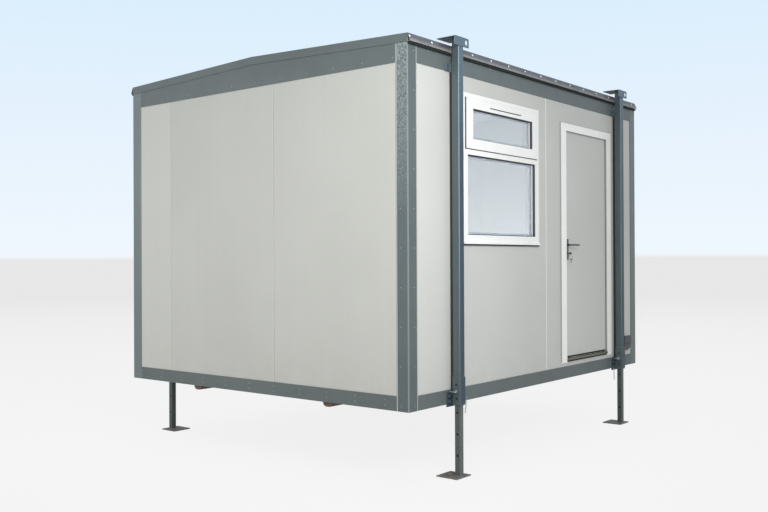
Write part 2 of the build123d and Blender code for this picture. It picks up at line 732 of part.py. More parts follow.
def jack_mast(x):
    """Outer tube with its lower sleeve, brackets and lifting cap, on the front."""
    place = Pos(x, -HALF_WIDTH - TUBE_OUT, GROUND_CLEARANCE)
    tube = extrude(RectangleRounded(TUBE_SIZE, TUBE_SIZE, TUBE_ROUND), CAP_TOP - CAP_PLATE - TUBE_BOTTOM)
    sleeve = extrude(RectangleRounded(SLEEVE_SIZE, SLEEVE_SIZE, TUBE_ROUND), SLEEVE_TOP - TUBE_BOTTOM)
    end = sleeve.faces().sort_by(Axis.Z)[0]
    sleeve = chamfer(end.edges(), (SLEEVE_SIZE - TUBE_SIZE) / 2, SLEEVE_TAPER, reference=end)
    mast = place * Pos(0, 0, TUBE_BOTTOM) * (tube + sleeve)
    half_lug = BRACKET_LUG / 2
    for bottom, top in (LOWER_BRACKET, UPPER_BRACKET):
        z = (GROUND_CLEARANCE + bottom, GROUND_CLEARANCE + top)
        face = -HALF_WIDTH + TRIM_INSET
        mast += block(
            (x - BRACKET_HALF_WIDTH, x + BRACKET_HALF_WIDTH), (face - BRACKET_PLATE, face), z
        )
        mast += block(
            (x - half_lug, x + half_lug),
            (-HALF_WIDTH - TUBE_OUT, face - BRACKET_PLATE),
            (max(z[0], GROUND_CLEARANCE), z[1]),
        )
    bore_size = TUBE_SIZE - 2 * TUBE_WALL
    bore = extrude(Rectangle(bore_size, bore_size), CAP_TOP - CAP_PLATE - TUBE_BOTTOM)
    mast -= place * Pos(0, 0, TUBE_BOTTOM) * bore
    centre = (x, -HALF_WIDTH - TUBE_OUT, GROUND_CLEARANCE)
    for height in SLEEVE_HOLES:
        mast -= punched_hole(SLEEVE_HOLE_RADIUS, 2 * TUBE_SIZE, (*centre[:2], centre[2] + height))
    mast -= rod(PIN_RADIUS + PIN_PLAY, 2 * TUBE_SIZE, (*centre[:2], centre[2] + PIN_HEIGHT), "X")
    return mast + jack_cap(x)


def jack_cap(x):
    """Bent plate on the tube: a top over the eaves and a front with a lifting eye."""
    top = GROUND_CLEARANCE + CAP_TOP
    front = -HALF_WIDTH - TUBE_FACE_OUT - CAP_PLATE
    sides = (x - CAP_HALF_WIDTH, x + CAP_HALF_WIDTH)
    face = block(sides, (front, front + CAP_PLATE), (top - CAP_FLANGE_DROP, top))
    cover = block(sides, (front, -HALF_WIDTH + CAP_INWARD), (top - CAP_PLATE, top))
    inner = cover.edges().filter_by(Axis.Z).group_by(Axis.Y)[-1]
    cover = fillet(inner, CAP_CORNER)
    eye_z = top - EYE_BELOW_TOP
    eye = rod(EYE_RADIUS, 4 * CAP_PLATE, (x + EYE_OFFSET, front + CAP_PLATE / 2, eye_z), "Y")
    envelope = block(sides, (front, -HALF_WIDTH + CAP_INWARD), (top - CAP_FLANGE_DROP, top))
    upper = envelope.edges().filter_by(Axis.Y).group_by(Axis.Z)[-1]
    return (face + cover - eye) & fillet(upper, CAP_CORNER)


def jack_packer(x):
    """Packing strip between the tube and the wall."""
    half = PACKER_WIDTH / 2
    y = (-HALF_WIDTH - TUBE_STANDOFF, -HALF_WIDTH + WALL_INSET)
    z = (GROUND_CLEARANCE + BASE_HEIGHT, GROUND_CLEARANCE + PACKER_TOP)
    strip = block((x - half, x + half), y, z)
    sleeve_y = (-HALF_WIDTH - TUBE_STANDOFF, -HALF_WIDTH - TUBE_STANDOFF + SLEEVE_SIZE - TUBE_SIZE)
    return strip - block((x - half, x + half), sleeve_y, (z[0], GROUND_CLEARANCE + SLEEVE_TOP))


def jack_leg(x):
    """Square inner leg with a row of pin holes, welded to its foot plate."""
    y = -HALF_WIDTH - TUBE_OUT
    inner = LEG_SIZE - 2 * LEG_WALL
    tube = extrude(RectangleRounded(LEG_SIZE, LEG_SIZE, LEG_ROUND), LEG_LENGTH)
    leg = tube - extrude(Rectangle(inner, inner), LEG_LENGTH)
    leg = Pos(x, y, FOOT_THICKNESS) * leg
    for i in range(LEG_HOLES):
        leg -= punched_hole(LEG_HOLE_RADIUS, 2 * LEG_SIZE, (x, y, LEG_HOLE_PITCH * (i + 1)))
    foot = Pos(x, y + FOOT_OFFSET, FOOT_THICKNESS / 2) * Box(FOOT_SIZE, FOOT_SIZE, FOOT_THICKNESS)
    return leg + foot


def jack_pin(x):
    """Head and tail of the locking pin, in the two side walls of the tube."""
    y = -HALF_WIDTH - TUBE_OUT
    z = GROUND_CLEARANCE + PIN_HEIGHT
    inside = TUBE_SIZE / 2 - TUBE_WALL
    outside = SLEEVE_SIZE / 2
    head_side = x - outside
    head = rod(PIN_RADIUS, outside - inside, (x - (outside + inside) / 2, y, z), "X")
    head += rod(PIN_HEAD_RADIUS, PIN_HEAD, (head_side - PIN_HEAD / 2, y, z), "X")
    reach = outside + PIN_TAIL - inside
    tail = rod(PIN_RADIUS, reach, (x + inside + reach / 2, y, z), "X")
    clip = rod(PIN_HEAD_RADIUS, PIN_HEAD / 2, (x + outside + PIN_HEAD / 4, y, z), "X")
    return head, tail + clip


def build():
    """Writes every piece of the cabin."""
    os.makedirs("parts", exist_ok=True)
    back_jacks_x = tuple(-x for x in FRONT_JACKS_X)

    base_rails()
    floor_joists()
    floor_deck()
    runners()

    corners = [(a, b) for a in (1, -1) for b in (1, -1)]
    write("corner_posts", *[corner_post(a, b) for a, b in corners])
    write("base_trims", *cover_strips(0, BASE_HEIGHT))
    write("header_trims", *cover_strips(HEADER_BOTTOM, EAVES_HEIGHT + RIDGE_RISE))
    write("gable_fascia_left", gable_fascia())
    write("gable_fascia_right", turned(gable_fascia()))
    flashing = eaves_flashing(FRONT_JACKS_X)
    write("eaves_flashing_front", flashing)
    write("eaves_flashing_back", turned(flashing))

    front_wall()
    write("left_wall", *side_wall())
    write("right_wall", *[turned(solid) for solid in side_wall()])
    back_joints = [BODY_LENGTH - place for place in joints_from(FIRST_JOINT_X, BODY_LENGTH)]
    back = panel_row(WALL_INSET, BODY_LENGTH - WALL_INSET, sorted(back_joints))
    write("back_wall", *[turned(solid) for solid in back])
    write("roof_front", *roof_slope())
    write("roof_back", *[turned(solid) for solid in roof_slope()])
    write("ridge_flashing", ridge_flashing())

    write("window_frame", window_frame())
    write("window_sash", window_sash())
    write("window_glass", *window_glass())

    write("door_frame", door_frame())
    write("door_threshold", door_threshold())
    write("door_leaf", door_leaf())
    write("door_handle_plates", *handle_plates())
    write("door_lock_cylinder", *lock_cylinder())
    write("door_levers", levers())
    halves = [hinge_parts(height) for height in HINGE_HEIGHTS]
    write("hinges_frame_side", *[frame_half for frame_half, _ in halves])
    write("hinges_leaf_side", *[leaf_half for _, leaf_half in halves])
    write("power_inlet", power_inlet())

    jacks = {
        "front_left": (FRONT_JACKS_X[0], False),
        "front_right": (FRONT_JACKS_X[1], False),
        "back_left": (back_jacks_x[1], True),
        "back_right": (back_jacks_x[0], True),
    }
    packers, pins = [], []
    for name, (x, behind) in jacks.items():
        place = turned if behind else unturned
        local_x = -x if behind else x
        write(f"jack_mast_{name}", place(jack_mast(local_x)))
        write(f"jack_leg_{name}", place(jack_leg(local_x)))
        packers.append(place(jack_packer(local_x)))
        pins += [place(half) for half in jack_pin(local_x)]
    write("jack_packers", *packers)
    write("jack_pins", *pins)


build()
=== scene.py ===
"""Looks of the portable site cabin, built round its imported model.

Every length is in metres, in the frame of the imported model: the ground is z = 0, the front
with the window and the door faces -Y, and +X runs to the right along it.
"""

import logging
import math
from dataclasses import dataclass
from enum import Enum
from typing import Iterable, Iterator, Sequence

import bmesh
import bpy
from mathutils import Matrix, Vector


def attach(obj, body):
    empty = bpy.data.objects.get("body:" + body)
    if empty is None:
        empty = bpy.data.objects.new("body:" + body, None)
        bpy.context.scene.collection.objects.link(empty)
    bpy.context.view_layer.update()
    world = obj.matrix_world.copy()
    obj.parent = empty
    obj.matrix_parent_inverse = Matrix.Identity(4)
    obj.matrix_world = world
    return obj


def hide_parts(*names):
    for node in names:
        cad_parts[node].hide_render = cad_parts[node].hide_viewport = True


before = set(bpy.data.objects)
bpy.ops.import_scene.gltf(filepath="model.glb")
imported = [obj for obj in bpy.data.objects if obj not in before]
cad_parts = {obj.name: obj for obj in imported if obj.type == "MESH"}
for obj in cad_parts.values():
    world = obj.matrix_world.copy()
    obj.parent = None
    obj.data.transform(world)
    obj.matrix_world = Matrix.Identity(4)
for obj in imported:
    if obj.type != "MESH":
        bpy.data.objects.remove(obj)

logging.basicConfig(level=logging.INFO, format="%(name)s: %(message)s")
LOG = logging.getLogger("cabin")

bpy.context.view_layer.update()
HALF_TURN = Matrix.Rotation(math.pi, 4, "Z")
UP = Vector((0, 0, 1))
CORNERS = ("front_left", "front_right", "back_left", "back_right")
BEVEL_SEGMENTS = 2
SHARP_ANGLE = math.radians(35)
TOUCH = 1e-7

Socket = bpy.types.NodeSocket
Colour = tuple[float, float, float, float]
Span = tuple[float, float]
Light = tuple[Span, Span, float, float]


class Side(Enum):
    """A side of the cabin, by the direction that it faces."""

    FRONT = Vector((0, -1, 0))
    BACK = Vector((0, 1, 0))
    LEFT = Vector((-1, 0, 0))
    RIGHT = Vector((1, 0, 0))


class Body(Enum):
    """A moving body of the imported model."""

    CABIN = "cabin"
    DOOR = "door"
    LEVER = "lever"


class Slot(Enum):
    """A material slot of the record."""

    STEELWORK = "steelwork"
    PROFILE = "white_profile"
    GLASS = "glass"
    HANDLE = "handle_metal"
    LOCK = "lock_metal"
    INLET = "inlet_plastic"
    RUBBER = "packer_rubber"
    ZINC = "zinc_steel"
    JACK = "jack_paint"


@dataclass(frozen=True)
class Tone:
    """A colour as it shows on a screen, 0 to 255."""

    red: float
    green: float
    blue: float

    def linear(self, gain: float = 1.0) -> tuple[float, float, float, float]:
        """Linear colour with alpha, times a gain."""
        parts = [c / 255 for c in (self.red, self.green, self.blue)]
        bent = [c / 12.92 if c <= 0.04045 else ((c + 0.055) / 1.055) ** 2.4 for c in parts]
        return (*[min(1.0, c * gain) for c in bent], 1.0)


class Sketch:
    """A material's node tree while it is being drawn."""

    def __init__(self, name: str) -> None:
        """Starts an empty material with its output and Object coordinates.

        Args:
            name: Name of the material.
        """
        self.material = bpy.data.materials.new(name)
        self.material.use_nodes = True
        self.tree = self.material.node_tree
        self.tree.nodes.clear()
        self.output = self.add("ShaderNodeOutputMaterial")
        self.place = self.add("ShaderNodeTexCoord").outputs["Object"]

    def add(self, kind: str, **values: object) -> bpy.types.Node:
        """Adds a node.

        Args:
            kind: Blender's name of the node type.
            values: Socket values, with a socket's spaces written as underscores.

        Returns:
            The new node.
        """
        node = self.tree.nodes.new(kind)
        for key, value in values.items():
            node.inputs[key.replace("_", " ")].default_value = value
        return node

    def link(self, start: bpy.types.NodeSocket, end: bpy.types.NodeSocket) -> None:
        """Joins an output to an input."""
        self.tree.links.new(start, end)

    def noise(
        self, scale: float, detail: float = 3.0, stretch: Sequence[float] = (1, 1, 1)
    ) -> Socket:
        """Noise on Object coordinates.

        Args:
            scale: Cells per metre.
            detail: Octaves.
            stretch: Scale along each axis.

        Returns:
            The factor output of the noise.
        """
        node = self.add("ShaderNodeTexNoise", Scale=scale, Detail=detail, Roughness=0.55)
        mapping = self.add("ShaderNodeMapping", Scale=stretch)
        self.link(self.place, mapping.inputs["Vector"])
        self.link(mapping.outputs["Vector"], node.inputs["Vector"])
        return node.outputs["Factor" if "Factor" in node.outputs else "Fac"]

    def range(
        self, value: Socket, low: float, high: float, to_low: float = 0.0, to_high: float = 1.0
    ) -> Socket:
        """Maps a value from one range to another, held at its ends."""
        node = self.add("ShaderNodeMapRange")
        for index, number in enumerate((low, high, to_low, to_high), start=1):
            node.inputs[index].default_value = number
        self.link(value, node.inputs["Value"])
        return node.outputs["Result"]

    def mix(self, factor: Socket, first: Socket | Colour, second: Socket | Colour) -> Socket:
        """Mixes two colours, each a socket or a plain colour."""
        node = self.add("ShaderNodeMix")
        node.data_type = "RGBA"
        self.link(factor, node.inputs["Factor"])
        for name, colour in (("A", first), ("B", second)):
            socket = next(s for s in node.inputs if s.name == name and s.type == "RGBA")
            if isinstance(colour, bpy.types.NodeSocket):
                self.link(colour, socket)
            else:
                socket.default_value = colour
        return next(s for s in node.outputs if s.type == "RGBA")

    def product(self, first: Socket | float, second: Socket | float) -> Socket:
        """Product of two values."""
        node = self.add("ShaderNodeMath")
        node.operation = "MULTIPLY"
        for socket, value in zip(node.inputs, (first, second)):
            if isinstance(value, bpy.types.NodeSocket):
                self.link(value, socket)
            else:
                socket.default_value = value
        return node.outputs["Value"]

    def axis(self, letter: str, vector: Socket | None = None) -> Socket:
        """One part of a vector, of the place where none is given."""
        node = self.add("ShaderNodeSeparateXYZ")
        self.link(self.place if vector is None else vector, node.inputs["Vector"])
        return node.outputs[letter]

    def facing(self) -> Socket:
        """Normal of the surface."""
        return self.add("ShaderNodeNewGeometry").outputs["Normal"]

    def absolute(self, value: Socket) -> Socket:
        """Value without its sign."""
        node = self.add("ShaderNodeMath")
        node.operation = "ABSOLUTE"
        self.link(value, node.inputs[0])
        return node.outputs["Value"]

    def band(self, value: Socket, low: float, high: float, soft: float = 0.0005) -> Socket:
        """One between two bounds, nothing outside, with soft ends."""
        rise = self.range(value, low - soft, low + soft)
        return self.product(rise, self.range(value, high - soft, high + soft, 1.0, 0.0))

    def corner_turn(self) -> Socket:
        """How far an upright rounded corner has turned: most at its middle."""
        facing = self.facing()
        across = self.absolute(self.axis("X", facing))
        return self.product(across, self.absolute(self.axis("Y", facing)))

    def edges(self, radius: float) -> tuple[Socket, Socket]:
        """Mask of the outer edges, and the normal that rounds them.

        Args:
            radius: How far from an edge the mask reaches.

        Returns:
            The mask and the rounded normal.
        """
        bevel = self.add("ShaderNodeBevel", Radius=radius)
        bevel.samples = 6
        geometry = self.add("ShaderNodeNewGeometry")
        dot = self.add("ShaderNodeVectorMath")
        dot.operation = "DOT_PRODUCT"
        self.link(bevel.outputs["Normal"], dot.inputs[0])
        self.link(geometry.outputs["Normal"], dot.inputs[1])
        return self.range(dot.outputs["Value"], 0.998, 0.86), bevel.outputs["Normal"]

    def bump(
        self, height: Socket, strength: float, distance: float, normal: Socket | None = None
    ) -> Socket:
        """Bump from a height, on top of a normal."""
        node = self.add("ShaderNodeBump", Strength=strength, Distance=distance)
        self.link(height, node.inputs["Height"])
        if normal is not None:
            self.link(normal, node.inputs["Normal"])
        return node.outputs["Normal"]

    def finish(
        self,
        colour: Socket | Colour,
        roughness: Socket | float,
        normal: Socket | None,
        **values: object,
    ) -> bpy.types.Material:
        """Closes the tree with a Principled shader.

        Args:
            colour: Socket or plain colour.
            roughness: Socket or number.
            normal: Socket, or None for the plain surface.
            values: Further socket values of the shader.

        Returns:
            The material.
        """
        shader = self.add("ShaderNodeBsdfPrincipled", **values)
        for name, value in (("Base Color", colour), ("Roughness", roughness)):
            if isinstance(value, bpy.types.NodeSocket):
                self.link(value, shader.inputs[name])
            else:
                shader.inputs[name].default_value = value
        if normal is not None:
            self.link(normal, shader.inputs["Normal"])
        self.link(shader.outputs["BSDF"], self.output.inputs["Surface"])
        return self.material


@dataclass(frozen=True)
class SheetPaint:
    """Coil-coated or painted sheet steel, lighter at its edges where worn, with painted highlight on
    its edges and, on special sheets, its folds.
    """

    name: str
    tone: Tone
    roughness: float = 0.42
    edge_radius: float = 0.004
    edge_gain: float = 1.7
    grain: float = 0.05
    fold_gain: float = 0.0
    # Painted shade on faces along Y: a cool dark tone low down, lighter near the top.
    cool_low: Tone = Tone(40, 58, 72)
    cool_high: Tone = Tone(86, 106, 122)

    def ground(self, sketch: Sketch) -> Socket:
        """Base colour with its broad drift and fine specks."""
        broad = sketch.mix(
            sketch.range(sketch.noise(1.4), 0.35, 0.65),
            self.tone.linear(0.93),
            self.tone.linear(1.06),
        )
        speck = sketch.range(sketch.noise(160, 5), 0.52, 0.72, 0.0, 0.30)
        return sketch.mix(speck, broad, self.tone.linear(1.35))

    def dress(self, sketch: Sketch, colour: Socket) -> Socket:
        """Painted light of a special sheet, none on a plain one: painted shade on faces along Y and a
        painted highlight on upright folds.
        """
        if self.fold_gain:
            # Painted highlight on upright rounded folds, fading toward the ground.
            fold = sketch.range(sketch.corner_turn(), 0.08, 0.34, 0.0, 0.85)
            fold = sketch.product(fold, sketch.range(sketch.axis("Z"), 0.7, 1.7, 0.12, 1.0))
            # Painted shade: faces along Y take the cool tone, lighter higher up.
            face = sketch.absolute(sketch.axis("Y", sketch.facing()))
            blue = sketch.range(face, 0.9, 1.0, 0.0, 0.8)
            cool = sketch.mix(
                sketch.range(sketch.axis("Z"), 2.3, 2.95),
                self.cool_low.linear(),
                self.cool_high.linear(),
            )
            colour = sketch.mix(blue, colour, cool)
            colour = sketch.mix(fold, colour, self.tone.linear(self.fold_gain))
        return colour

    def material(self) -> bpy.types.Material:
        """Builds the material."""
        sketch = Sketch(self.name)
        colour = self.dress(sketch, self.ground(sketch))
        # Edges lighter: part wear, part painted highlight where they catch the light.
        mask, rounded = sketch.edges(self.edge_radius)
        wear_and_highlight = sketch.range(sketch.noise(22, 4), 0.30, 0.62, 0.25, 1.0)
        colour = sketch.mix(
            sketch.product(mask, wear_and_highlight), colour, self.tone.linear(self.edge_gain)
        )
        roughness = sketch.range(
            sketch.noise(9, 4), 0.3, 0.7, self.roughness - 0.05, self.roughness + 0.08
        )
        normal = sketch.bump(sketch.noise(420, 2), self.grain, 0.0006, rounded)
        return sketch.finish(colour, roughness, normal)


@dataclass(frozen=True)
class PostPaint(SheetPaint):
    """Corner post: painted highlights on the lips and fold, painted light on two of the posts, and
    mottled painted reflection on the gable faces.
    """

    lip_highlight_tone: Tone = Tone(205, 211, 209)
    painted_light_tone: Tone = Tone(150, 160, 160)
    mottled_reflection_tone: Tone = Tone(196, 208, 207)
    reflection_rise_from: float = 1.8
    reflection_rise_to: float = 3.0
    gable_lip: Span = (1.3845, 1.3975)
    front_lip: Span = (1.692, 1.705)
    gable_fold: float = 1.4795
    front_fold: float = 1.787
    fold_width: float = 0.006

    def dress(self, sketch: Sketch, colour: Socket) -> Socket:
        """Adds the painted reflection, the painted light of two posts, and painted highlights on the
        lips and fold.
        """
        # Mottled painted reflection on the gable faces, stronger higher up and weaker on two posts.
        side = sketch.range(sketch.absolute(sketch.axis("X", sketch.facing())), 0.5, 0.8)
        rise = sketch.range(sketch.axis("Z"), self.reflection_rise_from, self.reflection_rise_to, 0.03, 0.50)
        corner = sketch.product(sketch.axis("X"), sketch.axis("Y"))
        rise = sketch.product(rise, sketch.range(corner, 0.0, 0.1, 0.15, 1.0))
        patch = sketch.range(sketch.noise(75, 3), 0.38, 0.62)
        reflection_patches = sketch.product(sketch.product(side, rise), patch)
        colour = sketch.mix(reflection_patches, colour, self.mottled_reflection_tone.linear())
        across = sketch.absolute(sketch.axis("Y"))
        along = sketch.absolute(sketch.axis("X"))
        near = sketch.range(corner, 0.0, 0.1)
        side = sketch.product(side, near)
        flat = sketch.product(sketch.range(side, 0.0, 1.0, 1.0, 0.0), near)
        # Painted light: the posts of the other diagonal are tinted lighter.
        pale = sketch.product(sketch.range(near, 0.0, 1.0, 1.0, 0.0), 0.30)
        colour = sketch.mix(pale, colour, self.painted_light_tone.linear())
        # Painted highlight along the lips, where they catch the light.
        lips = ((across, *self.gable_lip, side), (along, *self.front_lip, flat))
        for place, low, high, facing in lips:
            band = sketch.product(sketch.band(place, low, high), facing)
            colour = sketch.mix(sketch.product(band, 0.8), colour, self.lip_highlight_tone.linear())
        # Painted highlight along the rounded corner fold.
        folds = ((across, self.gable_fold, side), (along, self.front_fold, flat))
        for place, low, facing in folds:
            band = sketch.product(sketch.range(place, low, low + self.fold_width), facing)
            colour = sketch.mix(sketch.product(band, 0.7), colour, self.painted_light_tone.linear())
        return colour


@dataclass(frozen=True)
class DripMetal(SheetPaint):
    """Eaves flashing: dark above, with painted reflection in streaks paler toward the drip, and a
    painted highlight on the lip.
    """

    drip_reflection_tone: Tone = Tone(118, 118, 119)
    lip_highlight_tone: Tone = Tone(150, 151, 148)
    reflection_from: float = 2.984
    reflection_to: float = 2.972
    lip_top: float = 2.966

    def dress(self, sketch: Sketch, colour: Socket) -> Socket:
        """Adds the paler lower band of painted reflection and the painted highlight on the lip."""
        height = sketch.axis("Z")
        streak = sketch.range(sketch.noise(9, 3, (1, 1, 0.2)), 0.3, 0.6, 0.45, 1.0)
        # Painted reflection: the sloping face turns paler toward the drip, in streaks.
        pale = sketch.range(height, self.reflection_to, self.reflection_from, 1.0, 0.0)
        colour = sketch.mix(sketch.product(pale, streak), colour, self.drip_reflection_tone.linear())
        # Painted highlight on the drip's lip.
        lip = sketch.range(height, self.lip_top, self.lip_top + 0.002, 0.8, 0.0)
        return sketch.mix(sketch.product(lip, streak), colour, self.lip_highlight_tone.linear())


@dataclass(frozen=True)
class StuccoSheet:
    """Coated sheet with a fine hammered emboss, as on sandwich panels."""

    name: str
    tone: Tone
    emboss: float = 0.16
    cells: float = 130.0
    far_gain: float = 1.0
    far_joint: float = 0.9855
    joint_highlight_share: float = 0.9
    low_shade_tone: Tone = Tone(150, 146, 132)
    joint_highlight_tone: Tone = Tone(244, 246, 244)

    def material(self) -> bpy.types.Material:
        """Builds the material."""
        sketch = Sketch(self.name)
        colour = sketch.mix(
            sketch.range(sketch.noise(0.9, 2), 0.35, 0.65),
            self.tone.linear(0.97),
            self.tone.linear(1.03),
        )
        far = sketch.range(sketch.axis("Y"), self.far_joint, self.far_joint + 0.002)
        colour = sketch.mix(far, colour, self.tone.linear(self.far_gain))
        streak = sketch.range(sketch.noise(26, 3, (1, 1, 0.02)), 0.45, 0.75, 0.0, 0.10)
        colour = sketch.mix(streak, colour, self.tone.linear(0.86))
        # Painted shade: the walls darken unevenly toward their foot.
        foot = sketch.range(sketch.axis("Z"), 0.61, 0.95, 0.10, 0.0)
        foot_shade = sketch.product(foot, sketch.range(sketch.noise(7, 4), 0.35, 0.7))
        colour = sketch.mix(foot_shade, colour, self.low_shade_tone.linear())
        mask, rounded = sketch.edges(0.0025)
        # Painted highlight along the edges.
        colour = sketch.mix(sketch.product(mask, 0.5), colour, self.tone.linear(1.12))
        # Painted highlight on the rounded folds at joints and corners.
        joint = sketch.range(sketch.corner_turn(), 0.10, 0.25, 0.0, self.joint_highlight_share)
        colour = sketch.mix(joint, colour, self.joint_highlight_tone.linear())
        cell = sketch.add("ShaderNodeTexVoronoi", Scale=self.cells)
        cell.feature = "SMOOTH_F1"
        sketch.link(sketch.place, cell.inputs["Vector"])
        wave = sketch.bump(sketch.noise(5, 2), 0.05, 0.004, rounded)
        normal = sketch.bump(cell.outputs["Distance"], self.emboss, 0.0012, wave)
        roughness = sketch.range(sketch.noise(14, 3), 0.3, 0.7, 0.44, 0.56)
        return sketch.finish(colour, roughness, normal)


@dataclass(frozen=True)
class Moulded:
    """Plastic or rubber with a slight unevenness in tone and gloss."""

    name: str
    tone: Tone
    roughness: float = 0.35
    grain: float = 0.04
    grain_scale: float = 300.0
    edge_gain: float = 1.1

    def material(self) -> bpy.types.Material:
        """Builds the material."""
        sketch = Sketch(self.name)
        colour = sketch.mix(
            sketch.range(sketch.noise(6, 3), 0.35, 0.65),
            self.tone.linear(0.98),
            self.tone.linear(1.02),
        )
        mask, rounded = sketch.edges(0.002)
        # Painted highlight along the edges.
        colour = sketch.mix(sketch.product(mask, 0.6), colour, self.tone.linear(self.edge_gain))
        roughness = sketch.range(
            sketch.noise(4, 2), 0.3, 0.7, self.roughness - 0.02, self.roughness + 0.04
        )
        normal = sketch.bump(sketch.noise(self.grain_scale, 2), self.grain, 0.0005, rounded)
        return sketch.finish(colour, roughness, normal)


@dataclass(frozen=True)
class Metal:
    """Bare or plated metal, brushed along one axis."""

    name: str
    tone: Tone
    roughness: float = 0.32
    along: Sequence[float] = (1, 1, 1)
    stain: float = 0.25

    def material(self) -> bpy.types.Material:
        """Builds the material."""
        sketch = Sketch(self.name)
        brush = sketch.noise(420, 3, self.along)
        colour = sketch.mix(
            sketch.range(brush, 0.35, 0.65), self.tone.linear(0.86), self.tone.linear(1.12)
        )
        spots = sketch.range(sketch.noise(55, 4), 0.5, 0.72, 0.0, self.stain)
        colour = sketch.mix(spots, colour, self.tone.linear(0.55))
        mask, rounded = sketch.edges(0.0012)
        # Painted highlight along the edges.
        colour = sketch.mix(sketch.product(mask, 0.7), colour, self.tone.linear(1.3))
        roughness = sketch.range(
            brush, 0.3, 0.7, self.roughness - 0.07, self.roughness + 0.12
        )
        normal = sketch.bump(brush, 0.05, 0.0004, rounded)
        return sketch.finish(colour, roughness, normal, Metallic=1.0)


@dataclass(frozen=True)
class LegSteel:
    """Painted leg with sliding marks, and a bare scuffed foot plate at its end."""

    name: str
    tone: Tone
    foot_tone: Tone
    foot_top: float = 0.0085

    def material(self) -> bpy.types.Material:
        """Builds the material."""
        sketch = Sketch(self.name)
        broad = sketch.mix(
            sketch.range(sketch.noise(5), 0.35, 0.65),
            self.tone.linear(0.90),
            self.tone.linear(1.08),
        )
        marks = sketch.range(sketch.noise(120, 4, (1, 1, 0.03)), 0.55, 0.72, 0.0, 0.35)
        painted = sketch.mix(marks, broad, self.tone.linear(1.5))
        # Painted shade: faces along X are darker.
        across = sketch.absolute(sketch.axis("X", sketch.facing()))
        side = sketch.range(across, 0.3, 0.8, 0.0, 0.6)
        painted = sketch.mix(side, painted, self.tone.linear(0.6))
        scuffed = sketch.mix(
            sketch.range(sketch.noise(30, 5), 0.38, 0.62),
            self.foot_tone.linear(0.78),
            self.foot_tone.linear(1.28),
        )
        foot = sketch.range(sketch.axis("Z"), self.foot_top, self.foot_top + 0.012, 1.0, 0.0)
        colour = sketch.mix(foot, painted, scuffed)
        # Edges lighter: part wear, part painted highlight.
        mask, rounded = sketch.edges(0.004)
        wear_and_highlight = sketch.range(sketch.noise(26, 4), 0.3, 0.62, 0.15, 0.9)
        colour = sketch.mix(sketch.product(mask, wear_and_highlight), colour, self.tone.linear(1.7))
        roughness = sketch.range(foot, 0.0, 1.0, 0.42, 0.66)
        normal = sketch.bump(sketch.noise(300, 3), 0.08, 0.0006, rounded)
        return sketch.finish(colour, roughness, normal)


@dataclass(frozen=True)
class Board:
    """Plywood floor with a worn clear coat, its grain along X."""

    name: str
    tone: Tone

    def material(self) -> bpy.types.Material:
        """Builds the material."""
        sketch = Sketch(self.name)
        grain = sketch.noise(34, 6, (0.06, 1, 1))
        colour = sketch.mix(
            sketch.range(grain, 0.3, 0.7), self.tone.linear(0.72), self.tone.linear(1.2)
        )
        worn = sketch.range(sketch.noise(2.2, 3), 0.4, 0.7, 0.0, 0.35)
        colour = sketch.mix(worn, colour, self.tone.linear(1.45))
        normal = sketch.bump(grain, 0.12, 0.0008)
        return sketch.finish(colour, sketch.range(worn, 0.0, 0.35, 0.5, 0.68), normal)


@dataclass(frozen=True)
class ClearGlass:
    """Pane of clear glass with the least trace of dust."""

    name: str
    tone: Tone

    def material(self) -> bpy.types.Material:
        """Builds the material."""
        sketch = Sketch(self.name)
        film = sketch.range(sketch.noise(5, 4), 0.4, 0.8, 0.015, 0.05)
        return sketch.finish(
            self.tone.linear(), film, None, Transmission_Weight=1.0, IOR=1.45
        )


